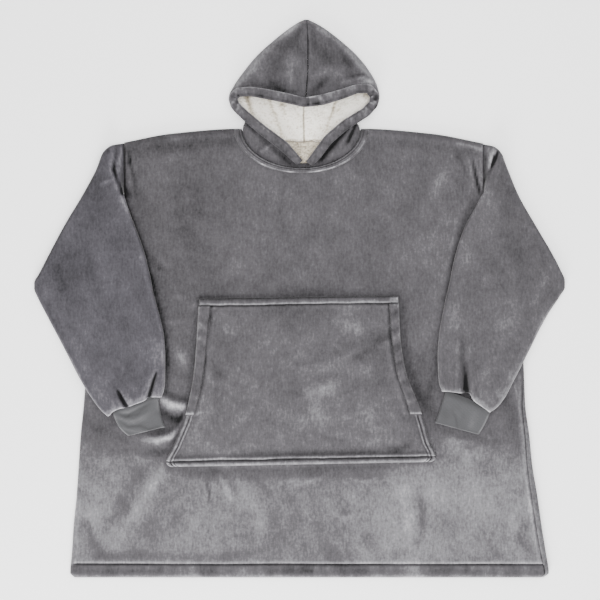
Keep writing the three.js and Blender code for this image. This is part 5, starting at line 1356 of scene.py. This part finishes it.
# Neck seam
# The front, back and hood are sewn together round the neck, and the seam allowance is pressed down on the
# front and stitched 14 mm away, so it stands up as a soft ridge.
turn = np.pi * np.linspace(1.0, 2.0, 260)
across = np.linspace(0, 1, 22)
ridge_width = 9.5 + 5 * np.abs(np.cos(turn))
reach = 0.4 + ridge_width[:, None] * across
gx = neck_x + (neck_half + reach) * np.cos(turn)[:, None]
gy = neck_y + (front_neck + reach) * np.sin(turn)[:, None]
gy = np.minimum(gy, along(shoulder_line, "x", "y", gx) - 0.4)
uneven = 1 + 0.26 * cloudy(gx, gy, 20, 121)
bed = np.maximum(front_top(gx, gy), 13.4) + 0.5
edge_roll = rounded(along(shoulder_line, "x", "y", gx) - gy, 13)
profile = rounded(reach, 4) * (0.1 + 0.9 * rounded(ridge_width[:, None] - reach + 0.4, 3.5))
at_shoulder = 0.05 + 0.95 * edge_roll
share = reach / ridge_width[:, None]
stitching = hump(share, 0.36, 0.1)
gz = mid_height + (bed + 5.6 * profile * uneven - mid_height) * at_shoulder - 1.6 * stitching
low = mid_height + (bed - 0.4 - mid_height) * at_shoulder
in_front = np.abs(np.sin(turn))[:, None]
# Painted shade in the stitch line and at the ridge's ends by the shoulders, and a painted highlight along its
# outer rim.
tone = 0.45 + 0.06 * cloudy(gx, gy, 18, 122) - 0.16 * stitching - 0.2 * (1 - ease(in_front, 0, 0.3))
painted_rim_highlight = (0.52 + 0.42 * cloudy(gx, gy, 14, 123)) * in_front * hump(share, 0.87, 0.13)
tone += painted_rim_highlight - 0.16 * (1 - ease(reach, 0, 2.5))
outer, inner, tone = np.stack([gx, gy, gz], -1)[::-1], np.stack([gx, gy, low], -1)[::-1], tone[::-1]
ridge = sew("neck_seam_ridge", outer, inner, tone, body_fleece, ["neck_binding"])

# Surface, lamps and camera
# A plain white table seen from straight above through a long lens, in the soft light of large panels. It is
# lacquered matt, faintly uneven, and glows a little so that it stays as pale as paper.
table_top = new_material("White matt table")
speckle = add_node(table_top, "ShaderNodeTexNoise", "Fac", values={"Scale": 30, "Detail": 2})
stops = [(0.0, "#f6f6f6"), (1.0, "#fafafa")]
colour = add_node(table_top, "ShaderNodeValToRGB", "Color", links={"Fac": speckle}, stops=stops)
finish = {"Roughness": 0.9, "Emission Color": (1, 1, 1, 1), "Emission Strength": 0.6}
surface = add_node(table_top, "ShaderNodeBsdfPrincipled", "BSDF", (), finish, {"Base Color": colour})
add_node(table_top, "ShaderNodeOutputMaterial", links={"Surface": surface})
table_half = 8
table_z = -0.0004
corners = [(x * table_half, y * table_half, table_z) for x, y in ((-1, -1), (1, -1), (1, 1), (-1, 1))]
mesh = bpy.data.meshes.new("floor")
mesh.from_pydata(corners, [], [(0, 1, 2, 3)])
mesh.materials.append(table_top)
floor = bpy.data.objects.new("floor", mesh)
bpy.context.scene.collection.objects.link(floor)

# Each panel's name, place, turn, width in metres and power in watts.
panels = [
    ("overhead panel", (0, 0.1, 2.6), (0, 0, 0), 3.2, 130),
    ("panel at the hem side", (-0.4, -2.5, 1.0), (1.2, 0, -0.16), 1.3, 130),
    ("panel at the hood side", (0.9, 2.2, 1.5), (-0.95, 0, -0.38), 1.5, 20),
]
for name, place, turn, size, power in panels:
    lamp = bpy.data.lights.new(name, "AREA")
    lamp.shape = "SQUARE"
    lamp.size = size
    lamp.energy = power
    holder = bpy.data.objects.new(name, lamp)
    holder.location = place
    holder.rotation_euler = turn
    bpy.context.scene.collection.objects.link(holder)
world = bpy.data.worlds.new("soft room")
world.use_nodes = True
world.node_tree.nodes["Background"].inputs["Color"].default_value = (1, 1, 1, 1)
world.node_tree.nodes["Background"].inputs["Strength"].default_value = 0.7
bpy.context.scene.world = world

lens = bpy.data.cameras.new("overhead camera")
lens.lens = 135
lens.sensor_width = 36
camera = bpy.data.objects.new("overhead camera", lens)
camera.location = (0.001, -0.003, 4.5)
bpy.context.scene.collection.objects.link(camera)
bpy.context.scene.camera = camera
